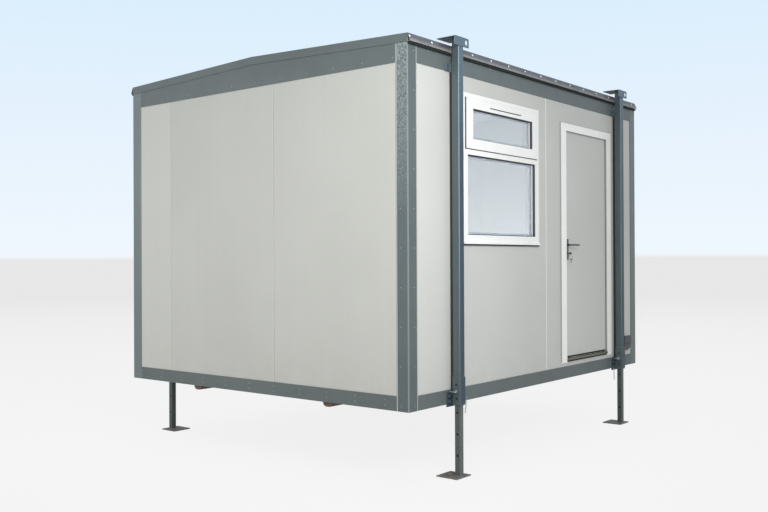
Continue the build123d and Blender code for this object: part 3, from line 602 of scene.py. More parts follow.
class Finishes:
    """Every finish of the cabin, made once."""

    def __init__(self) -> None:
        """Builds the materials."""
        plans = {
            "steelwork": SheetPaint("grey_green_steelwork", Tone(96, 105, 105)),
            "post": PostPaint("corner_post_steel", Tone(88, 99, 100)),
            # Its dark purplish tone stands for painted reflection on the sloping face.
            "eaves": DripMetal("eaves_flashing_metal", Tone(88, 87, 93)),
            "wall": StuccoSheet("wall_panel_coating", Tone(200, 202, 198)),
            # Painted shade: the gable coating is a darker, warmer copy of the wall coating.
            "gable": StuccoSheet(
                "gable_panel_coating_shaded", Tone(196, 197, 191), far_gain=1.06, joint_highlight_share=0.1
            ),
            "roof": StuccoSheet("roof_panel_coating", Tone(176, 179, 178)),
            "door": StuccoSheet("door_leaf_coating", Tone(204, 206, 202), emboss=0.04),
            "profile": Moulded("white_window_profile", Tone(243, 245, 243), 0.34, grain=0.0),
            # Painted light: a brighter copy of the white profile.
            "jamb": Moulded("white_door_frame_lit_copy", Tone(253, 254, 252), 0.34, grain=0.0),
            # Part real gasket, part painted shade where it lines shaded reveals and gaps.
            "gasket": Moulded("dark_gasket_and_painted_shade", Tone(78, 81, 88), 0.55),
            # Part real sealant, part painted shade on shaded side faces of the door frame.
            "seam": Moulded("grey_sealant_and_painted_shade", Tone(165, 172, 170), 0.5),
            # Mostly painted shade in gaps and recesses; also the door's real brush seal.
            "shade": Moulded("dark_seal_and_painted_shade", Tone(34, 38, 38), 0.9),
            "screw": SheetPaint("painted_screw_head", Tone(134, 141, 140), 0.35, 0.001),
            "spacer": Moulded("pane_spacer", Tone(236, 238, 240), 0.4),
            "rubber": Moulded("packing_rubber", Tone(46, 44, 38), 0.75, grain=0.2),
            "inlet": Moulded("inlet_plastic", Tone(76, 77, 78), 0.45, edge_gain=1.5),
            "jack": SheetPaint("jack_tube_paint", Tone(80, 93, 97), 0.34, fold_gain=2.8),
            "leg": LegSteel("jack_leg_paint", Tone(94, 100, 99), Tone(124, 120, 115)),
            "runner": SheetPaint("brown_runner_paint", Tone(102, 81, 71), 0.6, edge_gain=1.3),
            # Brownish tone: painted reflection of brown surroundings on the threshold.
            "aluminium": Metal("mill_aluminium", Tone(134, 129, 116), 0.34, (0.03, 1, 1)),
            # Darkened tone: painted reflection of dark surroundings on the metal.
            "handle": Metal("satin_handle_metal", Tone(104, 106, 104), 0.24, (0.1, 1, 1)),
            "lock": Metal("nickel_lock_metal", Tone(122, 119, 108), 0.22),
            # Painted shade: the bolt heads are darkened to the shade they sit in.
            "dull": SheetPaint("dark_bolt_head_painted_shade", Tone(84, 92, 94), 0.4, 0.001),
            "zinc": Metal("zinc_plating", Tone(188, 192, 196), 0.36),
            # Near white: painted reflection of the pale sky on the rivet heads.
            "bright": Moulded("bright_rivet_head", Tone(246, 247, 246), 0.3),
            "hinge": Metal("hinge_plating", Tone(178, 182, 186), 0.32, (1, 1, 0.05)),
            "floor": Board("plywood_deck", Tone(150, 124, 96)),
            "glass": ClearGlass("clear_pane", Tone(246, 249, 255)),
        }
        self.made = {key: plan.material() for key, plan in plans.items()}

    def __getitem__(self, key: str) -> bpy.types.Material:
        """The material of a finish."""
        return self.made[key]


def toward(axis: Vector) -> Matrix:
    """Turn that brings +Z onto an axis."""
    return axis.to_track_quat("Z", "Y").to_matrix().to_4x4()


class Mesh:
    """A mesh in the making: bmesh operators at stated places."""

    def __init__(self) -> None:
        """Starts an empty mesh."""
        self.bm = bmesh.new()

    def soften(self, edges: Iterable[bmesh.types.BMEdge], width: float) -> None:
        """Rounds edges with a bevel of the given width."""
        bmesh.ops.bevel(
            self.bm,
            geom=list(edges),
            offset=width,
            offset_type="OFFSET",
            affect="EDGES",
            segments=BEVEL_SEGMENTS,
            profile=0.5,
            material=-1,
        )

    def box(self, low: Sequence[float], high: Sequence[float], bevel: float = 0.0) -> "Mesh":
        """Adds a box between two corners.

        Args:
            low: Lowest corner.
            high: Highest corner.
            bevel: Width of the bevel on its edges.

        Returns:
            This mesh.
        """
        low, high = Vector(low), Vector(high)
        size = high - low
        place = Matrix.Translation((low + high) / 2) @ Matrix.Diagonal((*size, 1))
        made = bmesh.ops.create_cube(self.bm, size=1, matrix=place)
        if bevel:
            edges = {edge for vert in made["verts"] for edge in vert.link_edges}
            self.soften(edges, bevel)
        return self

    def drum(
        self,
        centre: Vector,
        axis: Vector,
        radius: float,
        length: float,
        sides: int = 20,
        bevel: float = 0.0,
        top_radius: float | None = None,
    ) -> "Mesh":
        """Adds a closed cylinder, prism or cone about its centre.

        Args:
            centre: Middle of the axis.
            axis: Direction from its base to its top.
            radius: Radius at the base.
            length: Length along the axis.
            sides: Number of sides.
            bevel: Width of the bevel on its end edges.
            top_radius: Radius at the top, the base's where it isn't given.

        Returns:
            This mesh.
        """
        turn = toward(axis)
        made = bmesh.ops.create_cone(
            self.bm,
            cap_ends=True,
            segments=sides,
            radius1=radius,
            radius2=radius if top_radius is None else top_radius,
            depth=length,
            matrix=Matrix.Translation(centre) @ turn,
        )
        if bevel:
            faces = {face for vert in made["verts"] for face in vert.link_faces}
            ends = [face for face in faces if len(face.verts) == sides]
            edges = {edge for face in ends for edge in face.edges}
            self.soften(edges, bevel)
        return self

    def dome(self, foot: Vector, axis: Vector, radius: float, height: float) -> "Mesh":
        """Adds a low closed dome, such as a rivet's or a pan screw's head.

        Args:
            foot: Centre of its flat side.
            axis: Direction of its crown.
            radius: Radius of its flat side.
            height: Height of its crown.

        Returns:
            This mesh.
        """
        turn = toward(axis)
        place = Matrix.Translation(foot) @ turn @ Matrix.Diagonal((1, 1, height / radius, 1))
        made = bmesh.ops.create_uvsphere(
            self.bm, u_segments=10, v_segments=6, radius=radius, matrix=place
        )
        faces = {face for vert in made["verts"] for face in vert.link_faces}
        edges = {edge for face in faces for edge in face.edges}
        cut = bmesh.ops.bisect_plane(
            self.bm,
            geom=[*made["verts"], *edges, *faces],
            plane_co=foot,
            plane_no=axis,
            clear_inner=True,
            dist=TOUCH,
        )
        rim = [item for item in cut["geom_cut"] if isinstance(item, bmesh.types.BMEdge)]
        bmesh.ops.contextual_create(self.bm, geom=rim)
        return self

    def ring(
        self, centre: Vector, axis: Vector, radius: float, wire: float, stretch: Vector | None = None
    ) -> "Mesh":
        """Adds a ring of round wire, or a chain link where it is stretched.

        Args:
            centre: Middle of the ring.
            axis: Axis of the ring.
            radius: Radius to the middle of the wire.
            wire: Radius of the wire.
            stretch: Half of the extra length, as a vector, of a link.

        Returns:
            This mesh.
        """
        turn = toward(axis)
        place = Matrix.Translation(centre) @ turn
        side = Matrix.Translation((radius, 0, 0)) @ Matrix.Rotation(math.pi / 2, 4, "X")
        made = bmesh.ops.create_circle(
            self.bm, cap_ends=False, segments=8, radius=wire, matrix=place @ side
        )
        verts = made["verts"]
        edges = list({edge for vert in verts for edge in vert.link_edges})
        before = set(self.bm.verts) - set(verts)
        bmesh.ops.spin(
            self.bm,
            geom=[*verts, *edges],
            cent=centre,
            axis=axis,
            angle=math.tau,
            steps=18,
            use_merge=True,
        )
        grown = [vert for vert in self.bm.verts if vert not in before]
        if stretch is not None:
            for sign in (1, -1):
                moved = [v for v in grown if (v.co - centre).dot(stretch) * sign > TOUCH]
                bmesh.ops.translate(self.bm, vec=stretch * sign, verts=moved)
        faces = list({face for vert in grown for face in vert.link_faces})
        bmesh.ops.recalc_face_normals(self.bm, faces=faces)
        return self

    def tube(self, points: Sequence[Vector], radius: float, sides: int = 10) -> "Mesh":
        """Adds a round bar along a few points, with closed ends.

        Args:
            points: Centre line.
            radius: Radius of the bar.
            sides: Number of sides.

        Returns:
            This mesh.
        """
        first = (points[1] - points[0]).normalized()
        turn = toward(first)
        made = bmesh.ops.create_circle(
            self.bm,
            cap_ends=True,
            segments=sides,
            radius=radius,
            matrix=Matrix.Translation(points[0]) @ turn,
        )
        face = made["verts"][0].link_faces[0]
        before = set(self.bm.verts) - set(made["verts"])
        heading = first
        for index in range(1, len(points)):
            last = index == len(points) - 1
            after = first if last else (points[index + 1] - points[index]).normalized()
            step = (points[index] - points[index - 1]).normalized()
            aim = step if last else (step + after).normalized()
            grown = bmesh.ops.extrude_face_region(self.bm, geom=[face])
            verts = [item for item in grown["geom"] if isinstance(item, bmesh.types.BMVert)]
            old = face
            face = next(i for i in grown["geom"] if isinstance(i, bmesh.types.BMFace))
            if index > 1:
                bmesh.ops.delete(self.bm, geom=[old], context="FACES_ONLY")
            spin = heading.rotation_difference(aim).to_matrix().to_4x4()
            centre = points[index - 1]
            bmesh.ops.transform(
                self.bm,
                matrix=Matrix.Translation(points[index]) @ spin @ Matrix.Translation(-centre),
                verts=verts,
            )
            heading = aim
        faces = [f for f in self.bm.faces if any(v not in before for v in f.verts)]
        bmesh.ops.recalc_face_normals(self.bm, faces=faces)
        return self

    def turned(self) -> "Mesh":
        """Adds a copy of everything on the opposite side of the cabin."""
        parts = [*self.bm.verts, *self.bm.edges, *self.bm.faces]
        copy = bmesh.ops.duplicate(self.bm, geom=parts)["geom"]
        verts = [item for item in copy if isinstance(item, bmesh.types.BMVert)]
        bmesh.ops.transform(self.bm, matrix=HALF_TURN, verts=verts)
        return self

    def piece(
        self, name: str, material: bpy.types.Material, slot: Slot, body: Body = Body.CABIN
    ) -> bpy.types.Object:
        """Makes the object, puts it on its body and reports it.

        Args:
            name: Name of the piece.
            material: Its finish.
            slot: The record's slot that the finish belongs to; not used.
            body: The body that it rides on.

        Returns:
            The new object.
        """
        mesh = bpy.data.meshes.new(name)
        self.bm.to_mesh(mesh)
        self.bm.free()
        mesh.materials.append(material)
        mesh.shade_smooth()
        mesh.set_sharp_from_angle(angle=SHARP_ANGLE)
        made = bpy.data.objects.new(name, mesh)
        bpy.context.scene.collection.objects.link(made)
        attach(made, body.value)
        LOG.info("%s: %d faces on %s", name, len(mesh.polygons), body.value)
        return made


@dataclass
class Hull:
    """Outer sizes of the cabin's body that the fittings are placed by."""

    half_length: float = 1.8
    half_width: float = 1.4925
    base: float = 0.510
    eaves: float = 2.500
    ridge_rise: float = 0.052

    def spot(self, side: Side, along: float, height: float, depth: float) -> Vector:
        """A point on the front or the left side.

        Args:
            side: The side, front or left.
            along: Distance from the near front left corner.
            height: Height above the underside of the body.
            depth: Distance behind the outline.

        Returns:
            The point.
        """
        z = self.base + height
        if side is Side.FRONT:
            return Vector((along - self.half_length, depth - self.half_width, z))
        return Vector((depth - self.half_length, along - self.half_width, z))

    def slab(self, mesh: Mesh, x: Span, z: Span, depth: Span, bevel: float = 0.0) -> None:
        """Adds a box on the front by its ranges along the wall, upward and inward."""
        low = self.spot(Side.FRONT, x[0], z[0], depth[0])
        high = self.spot(Side.FRONT, x[1], z[1], depth[1])
        mesh.box(low, high, bevel)

    def roof_top(self, along: float) -> float:
        """Height of the roof's edge on a gable, above the underside of the body."""
        middle = self.half_width
        return self.eaves + self.ridge_rise * (1 - abs(along - middle) / middle)


@dataclass(frozen=True)
class Row:
    """Evenly spaced places along a line."""

    start: float
    pitch: float
    count: int

    def __iter__(self) -> Iterator[float]:
        """Gives the places in turn."""
        return (self.start + self.pitch * index for index in range(self.count))


@dataclass
class CoverFixings:
    """Screws and rivets of the trims, posts, fascias and flashings."""

    hull: Hull
    finishes: Finishes
    head_radius: float = 0.0042
    head_height: float = 0.0020
    head_sides: int = 12
    washer: float = 0.0006
    washer_share: float = 1.25
    trim_depth: float = 0.005
    post_depth: float = 0.003
    post_inset: float = 0.068
    base_rows: Sequence[float] = (0.032, 0.071)
    base_left: Row = Row(0.207, 0.2662, 11)
    base_front: Row = Row(0.207, 0.2655, 13)
    header_bottom: float = 2.318
    header_row: float = 0.033
    header_front_row: float = 2.418
    header_left: Row = Row(0.130, 0.265, 11)
    header_front: Row = Row(0.240, 0.260, 13)
    post_column: Row = Row(0.035, 0.262, 10)
    fascia_row: Row = Row(0.299, 0.265, 10)
    fascia_drop: float = 0.026
    fascia_sink: float = 0.0010
    fascia_head: float = 0.0019
    rivet_row: Row = Row(0.0105, 0.2495, 15)
    rivet_height: float = 2.4775
    rivet_depth: float = -0.010
    rivet_radius: float = 0.0085
    rivet_crown: float = 0.0040
    eaves_slope: tuple[float, float, float] = (0, -0.045, 0.020)
    shadow_strip_end: float = 0.004
    shadow_strip_z: Span = (2.430, 2.4436)
    shadow_strip_depth: Span = (-0.0125, 0.0045)
    ridge_edge: float = 0.130
    ridge_row: Row = Row(-1.68, 0.24, 15)

    def build(self) -> None:
        """Builds all groups."""
        self.base_screws()
        self.header_screws()
        self.post_screws()
        self.fascia_screws()
        self.eaves_rivets()
        self.eaves_shadow_strip()
        self.ridge_screws()

    def head(self, mesh: Mesh, foot: Vector, axis: Vector) -> None:
        """Adds one pan head on its thin washer."""
        middle = foot + axis * (self.washer / 2)
        radius = self.head_radius * self.washer_share
        mesh.drum(middle, axis, radius, self.washer, self.head_sides)
        mesh.dome(foot + axis * self.washer, axis, self.head_radius, self.head_height)

    def line(
        self, mesh: Mesh, side: Side, places: Iterable[float], height: float, depth: float
    ) -> None:
        """Adds a head at each place along a side.

        Args:
            mesh: Mesh that takes them.
            side: Side of the cabin, front or left.
            places: Distances from the near front left corner.
            height: Height above the underside of the body.
            depth: Distance behind the outline.
        """
        for along in places:
            self.head(mesh, self.hull.spot(side, along, height, depth), side.value)

    def base_screws(self) -> None:
        """Two rows along the base trims of the gables, and one along the fronts."""
        mesh = Mesh()
        for row in self.base_rows:
            self.line(mesh, Side.LEFT, self.base_left, row, self.trim_depth)
        mesh.turned().piece("base_gable_screws", self.finishes["screw"], Slot.STEELWORK)
        front = Mesh()
        self.line(front, Side.FRONT, self.base_front, self.base_rows[1], self.trim_depth)
        front.turned().piece("base_front_screws", self.finishes["steelwork"], Slot.STEELWORK)

    def header_screws(self) -> None:
        """One row along the header trims of each side."""
        mesh = Mesh()
        height = self.header_bottom + self.header_row
        self.line(mesh, Side.LEFT, self.header_left, height, self.trim_depth)
        self.line(mesh, Side.FRONT, self.header_front, self.header_front_row, self.trim_depth)
        mesh.turned().piece("header_trim_screws", self.finishes["screw"], Slot.STEELWORK)

    def post_screws(self) -> None:
        """A column on each leg of the corner posts."""
        mesh = Mesh()
        left = (self.post_inset, 2 * self.hull.half_width - self.post_inset)
        front = (self.post_inset, 2 * self.hull.half_length - self.post_inset)
        for height in self.post_column:
            self.line(mesh, Side.LEFT, left, height, self.post_depth)
            self.line(mesh, Side.FRONT, front, height, self.post_depth)
        mesh.turned().piece("corner_post_screws", self.finishes["screw"], Slot.STEELWORK)

    def fascia_screws(self) -> None:
        """One row of flush heads along each gable fascia, a little below the roof."""
        mesh = Mesh()
        inward, outward = Side.RIGHT.value, Side.LEFT.value
        for along in self.fascia_row:
            height = self.hull.roof_top(along) - self.fascia_drop
            middle = self.hull.spot(Side.LEFT, along, height, 0.0) + inward * self.fascia_sink
            mesh.drum(middle, outward, self.head_radius, self.fascia_head, self.head_sides)
        mesh.turned().piece("gable_fascia_screws", self.finishes["screw"], Slot.STEELWORK)

    def eaves_rivets(self) -> None:
        """Rivets on the sloping face of the eaves flashings."""
        mesh = Mesh()
        slope = Vector(self.eaves_slope).normalized()
        for along in self.rivet_row:
            foot = self.hull.spot(Side.FRONT, along, self.rivet_height, self.rivet_depth)
            mesh.dome(foot, slope, self.rivet_radius, self.rivet_crown)
        mesh.turned().piece("eaves_rivets", self.finishes["bright"], Slot.ZINC)

    def eaves_shadow_strip(self) -> None:
        """Dark strip behind the drip of the eaves flashings, painted shade under the overhang."""
        mesh = Mesh()
        along = (self.shadow_strip_end, 2 * self.hull.half_length - self.shadow_strip_end)
        self.hull.slab(mesh, along, self.shadow_strip_z, self.shadow_strip_depth)
        mesh.turned().piece("eaves_shadow_strip", self.finishes["shade"], Slot.RUBBER)

    def ridge_screws(self) -> None:
        """Screws along both edges of the ridge flashing."""
        mesh = Mesh()
        rise = self.hull.base + self.hull.roof_top(self.hull.half_width - self.ridge_edge)
        for x in self.ridge_row:
            self.head(mesh, Vector((x, -self.ridge_edge, rise)), UP)
        mesh.turned().piece("ridge_screws", self.finishes["zinc"], Slot.ZINC)


@dataclass
class WindowDressing:
    """Panes, spacers, gaskets, seals, drain caps and inner handle of the window."""

    hull: Hull
    finishes: Finishes
    lower_x: tuple[float, float] = (0.705, 1.670)
    lower_z: tuple[float, float] = (1.183, 1.760)
    upper_x: tuple[float, float] = (0.762, 1.613)
    upper_z: tuple[float, float] = (1.876, 2.094)
    lower_face: float = 0.023
    upper_face: float = 0.013
    frame_face: float = -0.002
    sash_face: float = -0.012
    unit: float = 0.024
    pane: float = 0.004
    vent: float = 0.453
    spacer_inset: float = 0.020
    spacer_gap: float = 0.0005
    glass_gap: float = 0.0003
    reveal_lap: float = 0.002
    lining: float = 0.0022
    rim: float = 0.007
    rim_out: float = 0.004
    wedge: float = 0.018
    sash_x: Span = (0.6700, 1.6975)
    sash_z: Span = (1.798, 2.170)
    seal_depth: Span = (-0.0038, -0.0022)
    seal_width: float = 0.014
    vent_middle: float = 1.2175
    vent_z: Span = (2.1192, 2.1268)
    vent_depth: Span = (-0.0050, -0.0022)
    drain_places: Span = (0.821, 1.569)
    drain_half: float = 0.016
    drain_z: Span = (1.139, 1.149)
    drain_depth: Span = (-0.0062, -0.002)
    drain_bevel: float = 0.0015
    frame_x: Span = (0.645, 1.730)
    frame_z: Span = (1.117, 2.202)
    bead: float = 0.003
    bead_depth: Span = (0.0015, 0.0082)
    sill_lap: float = 0.002
    sill_gap: float = 0.009
    sill_depth: Span = (-0.004, 0.0078)

    def build(self) -> None:
        """Builds all groups."""
        lights = [
            (self.lower_x, self.lower_z, self.lower_face, self.frame_face),
            (self.upper_x, self.upper_z, self.upper_face, self.sash_face),
        ]
        self.panes(lights)
        self.spacers(lights)
        self.reveals(lights)
        self.wedges(lights)
        self.sash_seal()
        self.drain_caps()
        self.sealant()
        self.inner_handle()

    def border(self, mesh: Mesh, x: Span, z: Span, depth: Span, width: float) -> None:
        """Adds four strips that line an opening from inside."""
        self.hull.slab(mesh, (x[0], x[0] + width), z, depth)
        self.hull.slab(mesh, (x[1] - width, x[1]), z, depth)
        inner = (x[0] + width, x[1] - width)
        self.hull.slab(mesh, inner, (z[0], z[0] + width), depth)
        self.hull.slab(mesh, inner, (z[1] - width, z[1]), depth)

    def panes(self, lights: Sequence[Light]) -> None:
        """Two panes in each sealed unit."""
        mesh = Mesh()
        for x, z, face, _ in lights:
            for front in (face, face + self.unit - self.pane):
                self.hull.slab(mesh, x, z, (front, front + self.pane))
        panes = mesh.piece("window_panes", self.finishes["glass"], Slot.GLASS)
        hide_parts("window_glass")

    def spacers(self, lights: Sequence[Light]) -> None:
        """White spacer between the panes of each unit."""
        mesh = Mesh()
        for x, z, face, _ in lights:
            front, back = face + self.pane, face + self.unit - self.pane
            depth = (front + self.spacer_gap, back - self.spacer_gap)
            self.border(mesh, x, z, depth, self.spacer_inset)
        mesh.piece("pane_spacers", self.finishes["spacer"], Slot.PROFILE)

    def reveals(self, lights: Sequence[Light]) -> None:
        """Dark lining of each light's reveal down to the glass, painted shade on the white reveal, and
        the real gasket rim round the glass.
        """
        mesh = Mesh()
        for x, z, face, front in lights:
            depth = (front + self.reveal_lap, face - self.glass_gap)
            self.border(mesh, x, z, depth, self.lining)
        for x, z, face, _ in lights:
            self.border(mesh, x, z, (face - self.rim_out, face - self.glass_gap), self.rim)
        mesh.piece("glazing_gaskets", self.finishes["gasket"], Slot.RUBBER)

    def wedges(self, lights: Sequence[Light]) -> None:
        """White glazing wedge beside the gasket on the closing side of each light."""
        mesh = Mesh()
        for x, z, face, _ in lights:
            inner = (z[0] + self.rim, z[1] - self.rim)
            depth = (face - self.rim_out, face - self.glass_gap)
            self.hull.slab(mesh, (x[1] - self.wedge, x[1] - self.rim), inner, depth)
        mesh.piece("glazing_wedges", self.finishes["jamb"], Slot.PROFILE)

    def sash_seal(self) -> None:
        """Dark seal behind the sash's flange, reaching past its edge as a painted shadow line, and
        painted shade in its ventilation slot.
        """
        mesh = Mesh()
        self.border(mesh, self.sash_x, self.sash_z, self.seal_depth, self.seal_width)
        vent = (self.vent_middle - self.vent / 2, self.vent_middle + self.vent / 2)
        self.hull.slab(mesh, vent, self.vent_z, self.vent_depth)
        mesh.piece("sash_seal", self.finishes["shade"], Slot.RUBBER)

    def drain_caps(self) -> None:
        """Two small hoods over the drain slots of the lower frame."""
        mesh = Mesh()
        for x in self.drain_places:
            cap = (x - self.drain_half, x + self.drain_half)
            self.hull.slab(mesh, cap, self.drain_z, self.drain_depth, self.drain_bevel)
        mesh.piece("drain_caps", self.finishes["profile"], Slot.PROFILE)

    def sealant(self) -> None:
        """Bead of sealant round the outer frame, and the dark gap under its sill."""
        mesh = Mesh()
        x, z, bead = self.frame_x, self.frame_z, self.bead
        outer_x, outer_z = (x[0] - bead, x[1] + bead), (z[0] - bead, z[1] + bead)
        self.border(mesh, outer_x, outer_z, self.bead_depth, bead)
        mesh.piece("window_sealant", self.finishes["seam"], Slot.PROFILE)
        gap = Mesh()
        wide = (x[0] - self.sill_lap, x[1] + self.sill_lap)
        self.hull.slab(gap, wide, (z[0] - self.sill_gap, z[0]), self.sill_depth)
        gap.piece("sill_shadow_gap", self.finishes["shade"], Slot.RUBBER)

    def inner_handle(self) -> None:
        """Small locking handle on the room side of the sash."""
        mesh = Mesh()
        x = (self.upper_x[0] + self.upper_x[1]) / 2
        self.hull.slab(mesh, (x - 0.012, x + 0.012), (1.832, 1.872), (0.050, 0.058), 0.002)
        self.hull.slab(mesh, (x - 0.008, x + 0.105), (1.846, 1.860), (0.060, 0.070), 0.003)
        centre = self.hull.spot(Side.FRONT, x, 1.853, 0.061)
        mesh.drum(centre, Side.FRONT.value, 0.008, 0.012, 16)
        mesh.piece("sash_handle", self.finishes["profile"], Slot.PROFILE)


@dataclass
class DoorDressing:
    """Seals, strips of painted shade, screws, levers and the key of the door."""

    hull: Hull
    finishes: Finishes
    inner_x: tuple[float, float] = (2.199, 2.972)
    head: float = 2.089
    threshold: float = 0.165
    clearance: float = 0.005
    leaf_bottom: float = 0.183
    leaf_face: float = 0.015
    leaf: float = 0.044
    lip_back: float = 0.010
    lever_x: float = 2.237
    lever_height: float = 1.125
    plate: float = 0.007
    seal_width: float = 0.009
    seal_back: float = 0.001
    lining: float = 0.0012
    plate_screws_at: Sequence[float] = (1.012, 1.163)
    plate_screw: Span = (0.0042, 0.0018)
    hinge_heights: Sequence[float] = (0.380, 1.130, 1.880)
    hinge_lifts: Sequence[float] = (-0.036, 0.0, 0.036)
    hinge_x: float = 3.018
    hinge_face: float = 0.066
    hinge_screw: Span = (0.0045, 0.0012)
    lever_radius: float = 0.0078
    lever_line: Sequence[Span] = (
        (0.0, 0.009),
        (0.0, 0.030),
        (0.004, 0.040),
        (0.014, 0.0505),
        (0.030, 0.0515),
        (0.070, 0.0515),
        (0.112, 0.0505),
        (0.1255, 0.0480),
    )
    frame_x: Span = (2.109, 3.062)
    frame_z: Span = (0.137, 2.153)
    bead: float = 0.003
    bead_depth: Span = (-0.0008, 0.0082)

    def build(self) -> None:
        """Builds all groups."""
        self.seal()
        self.brush_seal()
        self.lip_side_shade()
        self.plate_screws()
        self.hinge_screws()
        self.key()
        self.levers()
        self.sealant()

    def seal(self) -> None:
        """Dark seal on the back of the frame's lip, against the leaf: part real seal, part painted
        shade in the gap between lip and leaf.
        """
        mesh = Mesh()
        depth = (self.lip_back + 0.0002, self.leaf_face - 0.0004)
        left, right = self.inner_x
        width, back = self.seal_width, self.seal_back
        z = (self.threshold + 0.004, self.head + back)
        self.hull.slab(mesh, (left - back - width, left - back), z, depth)
        self.hull.slab(mesh, (right + back, right + back + width), z, depth)
        head = (self.head + back, self.head + back + width)
        self.hull.slab(mesh, (left - back - width, right + back + width), head, depth)
        mesh.piece("door_seal", self.finishes["gasket"], Slot.RUBBER)

    def brush_seal(self) -> None:
        """Dark brush under the foot of the leaf, in its carrier, and a dark strip of painted shade
        under the threshold's nose.
        """
        mesh = Mesh()
        x = (self.inner_x[0] + 0.008, self.inner_x[1] - 0.008)
        carrier = (self.leaf_face + 0.002, self.leaf_face + 0.014)
        self.hull.slab(mesh, x, (self.leaf_bottom - 0.006, self.leaf_bottom), carrier, 0.001)
        brush = (self.leaf_face + 0.004, self.leaf_face + 0.012)
        low = self.threshold + self.clearance
        self.hull.slab(mesh, x, (low, self.leaf_bottom - 0.006), brush)
        mesh.piece("door_brush_seal", self.finishes["shade"], Slot.RUBBER, Body.DOOR)
        # Painted shade: dark strip in the recess under the threshold's nose.
        under_nose_shade = Mesh()
        foot = (self.threshold - 0.0285, self.threshold - 0.0172)
        self.hull.slab(under_nose_shade, (self.inner_x[0] + 0.001, self.inner_x[1] - 0.001), foot, (0.0, 0.0095))
        under_nose_shade.piece("threshold_shadow_strip", self.finishes["shade"], Slot.RUBBER)

    def lip_side_shade(self) -> None:
        """Grey strips on the inner side faces of the frame's lip: painted shade on the white faces."""
        mesh = Mesh()
        left, right = self.inner_x
        thin, depth = self.lining, (-self.lining, self.lip_back)
        z = (self.threshold, self.head)
        self.hull.slab(mesh, (left, left + thin), z, depth)
        self.hull.slab(mesh, (right - thin, right), z, depth)
        self.hull.slab(mesh, (left, right), (self.head - thin, self.head), depth)
        mesh.piece("door_lip_painted_shade", self.finishes["seam"], Slot.PROFILE)

    def plate_screws(self) -> None:
        """Two screws in each handle plate."""
        mesh = Mesh()
        faces = (
            (self.leaf_face - self.plate, Side.FRONT.value),
            (self.leaf_face + self.leaf + self.plate, Side.BACK.value),
        )
        for depth, axis in faces:
            for height in self.plate_screws_at:
                foot = self.hull.spot(Side.FRONT, self.lever_x, height, depth)
                mesh.dome(foot, axis, *self.plate_screw)
        mesh.piece("handle_plate_screws", self.finishes["handle"], Slot.HANDLE, Body.DOOR)

    def hinge_screws(self) -> None:
        """Countersunk screw heads in the frame side of the hinges."""
        mesh = Mesh()
        for height in self.hinge_heights:
            for lift in self.hinge_lifts:
                foot = self.hull.spot(Side.FRONT, self.hinge_x, height + lift, self.hinge_face)
                mesh.dome(foot, Side.BACK.value, *self.hinge_screw)
        mesh.piece("hinge_screws", self.finishes["zinc"], Slot.ZINC)

    def levers(self) -> None:
        """Smooth round levers with a swept neck, outside and in the room."""
        mesh = Mesh()
        back = self.leaf_face + self.leaf + 0.001
        for face, out in ((self.leaf_face, -1.0), (back, 1.0)):
            root = self.hull.spot(Side.FRONT, self.lever_x, self.lever_height, face)
            points = [root + Vector((x, y * out, 0)) for x, y in self.lever_line]
            mesh.tube(points, self.lever_radius, 16)
            rose = root + Vector((0, 0.0100 * out, 0))
            mesh.drum(rose, Vector((0, out, 0)), 0.0100, 0.002, 24, 0.0005)
        middle = self.leaf_face + self.leaf / 2
        centre = self.hull.spot(Side.FRONT, self.lever_x, self.lever_height, middle)
        mesh.drum(centre, Side.FRONT.value, 0.0040, self.leaf + 0.018, 12)
        levers = mesh.piece("door_lever_bars", self.finishes["handle"], Slot.HANDLE, Body.LEVER)
        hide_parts("door_levers")

    def key(self) -> None:
        """Key in the outer lock, with a ring and a second key that hang from it."""
        mesh = Mesh()
        height = self.lever_height - 0.072
        face = self.leaf_face - self.plate - 0.004
        start = self.hull.spot(Side.FRONT, self.lever_x, height, face)
        out = Side.FRONT.value
        mesh.box(start + Vector((-0.001, -0.016, -0.004)), start + Vector((0.001, 0.004, 0.004)))
        bow = start + out * 0.021
        mesh.drum(bow, Side.RIGHT.value, 0.012, 0.0022, 20, 0.0006)
        ring = bow + Vector((0, -0.004, -0.021))
        mesh.ring(ring, Vector((1, 0.5, 0)).normalized(), 0.013, 0.0010)
        low = ring + Vector((0.002, -0.001, -0.024))
        mesh.drum(low, Vector((0.8, 0.6, 0)).normalized(), 0.011, 0.0022, 20, 0.0006)
        mesh.box(low + Vector((-0.003, -0.001, -0.036)), low + Vector((0.003, 0.001, -0.009)))
        mesh.piece("door_key", self.finishes["lock"], Slot.LOCK, Body.DOOR)

    def sealant(self) -> None:
        """Grey bead along the outer edges of the door frame: part sealant, part painted shade on the
        frame's side faces.
        """
        mesh = Mesh()
        bead, x, z, depth = self.bead, self.frame_x, self.frame_z, self.bead_depth
        self.hull.slab(mesh, (x[0] - bead, x[0]), z, depth)
        self.hull.slab(mesh, (x[1], x[1] + bead), z, depth)
        self.hull.slab(mesh, (x[0] - bead, x[1] + bead), (z[1], z[1] + bead), depth)
        mesh.piece("door_sealant", self.finishes["seam"], Slot.PROFILE)


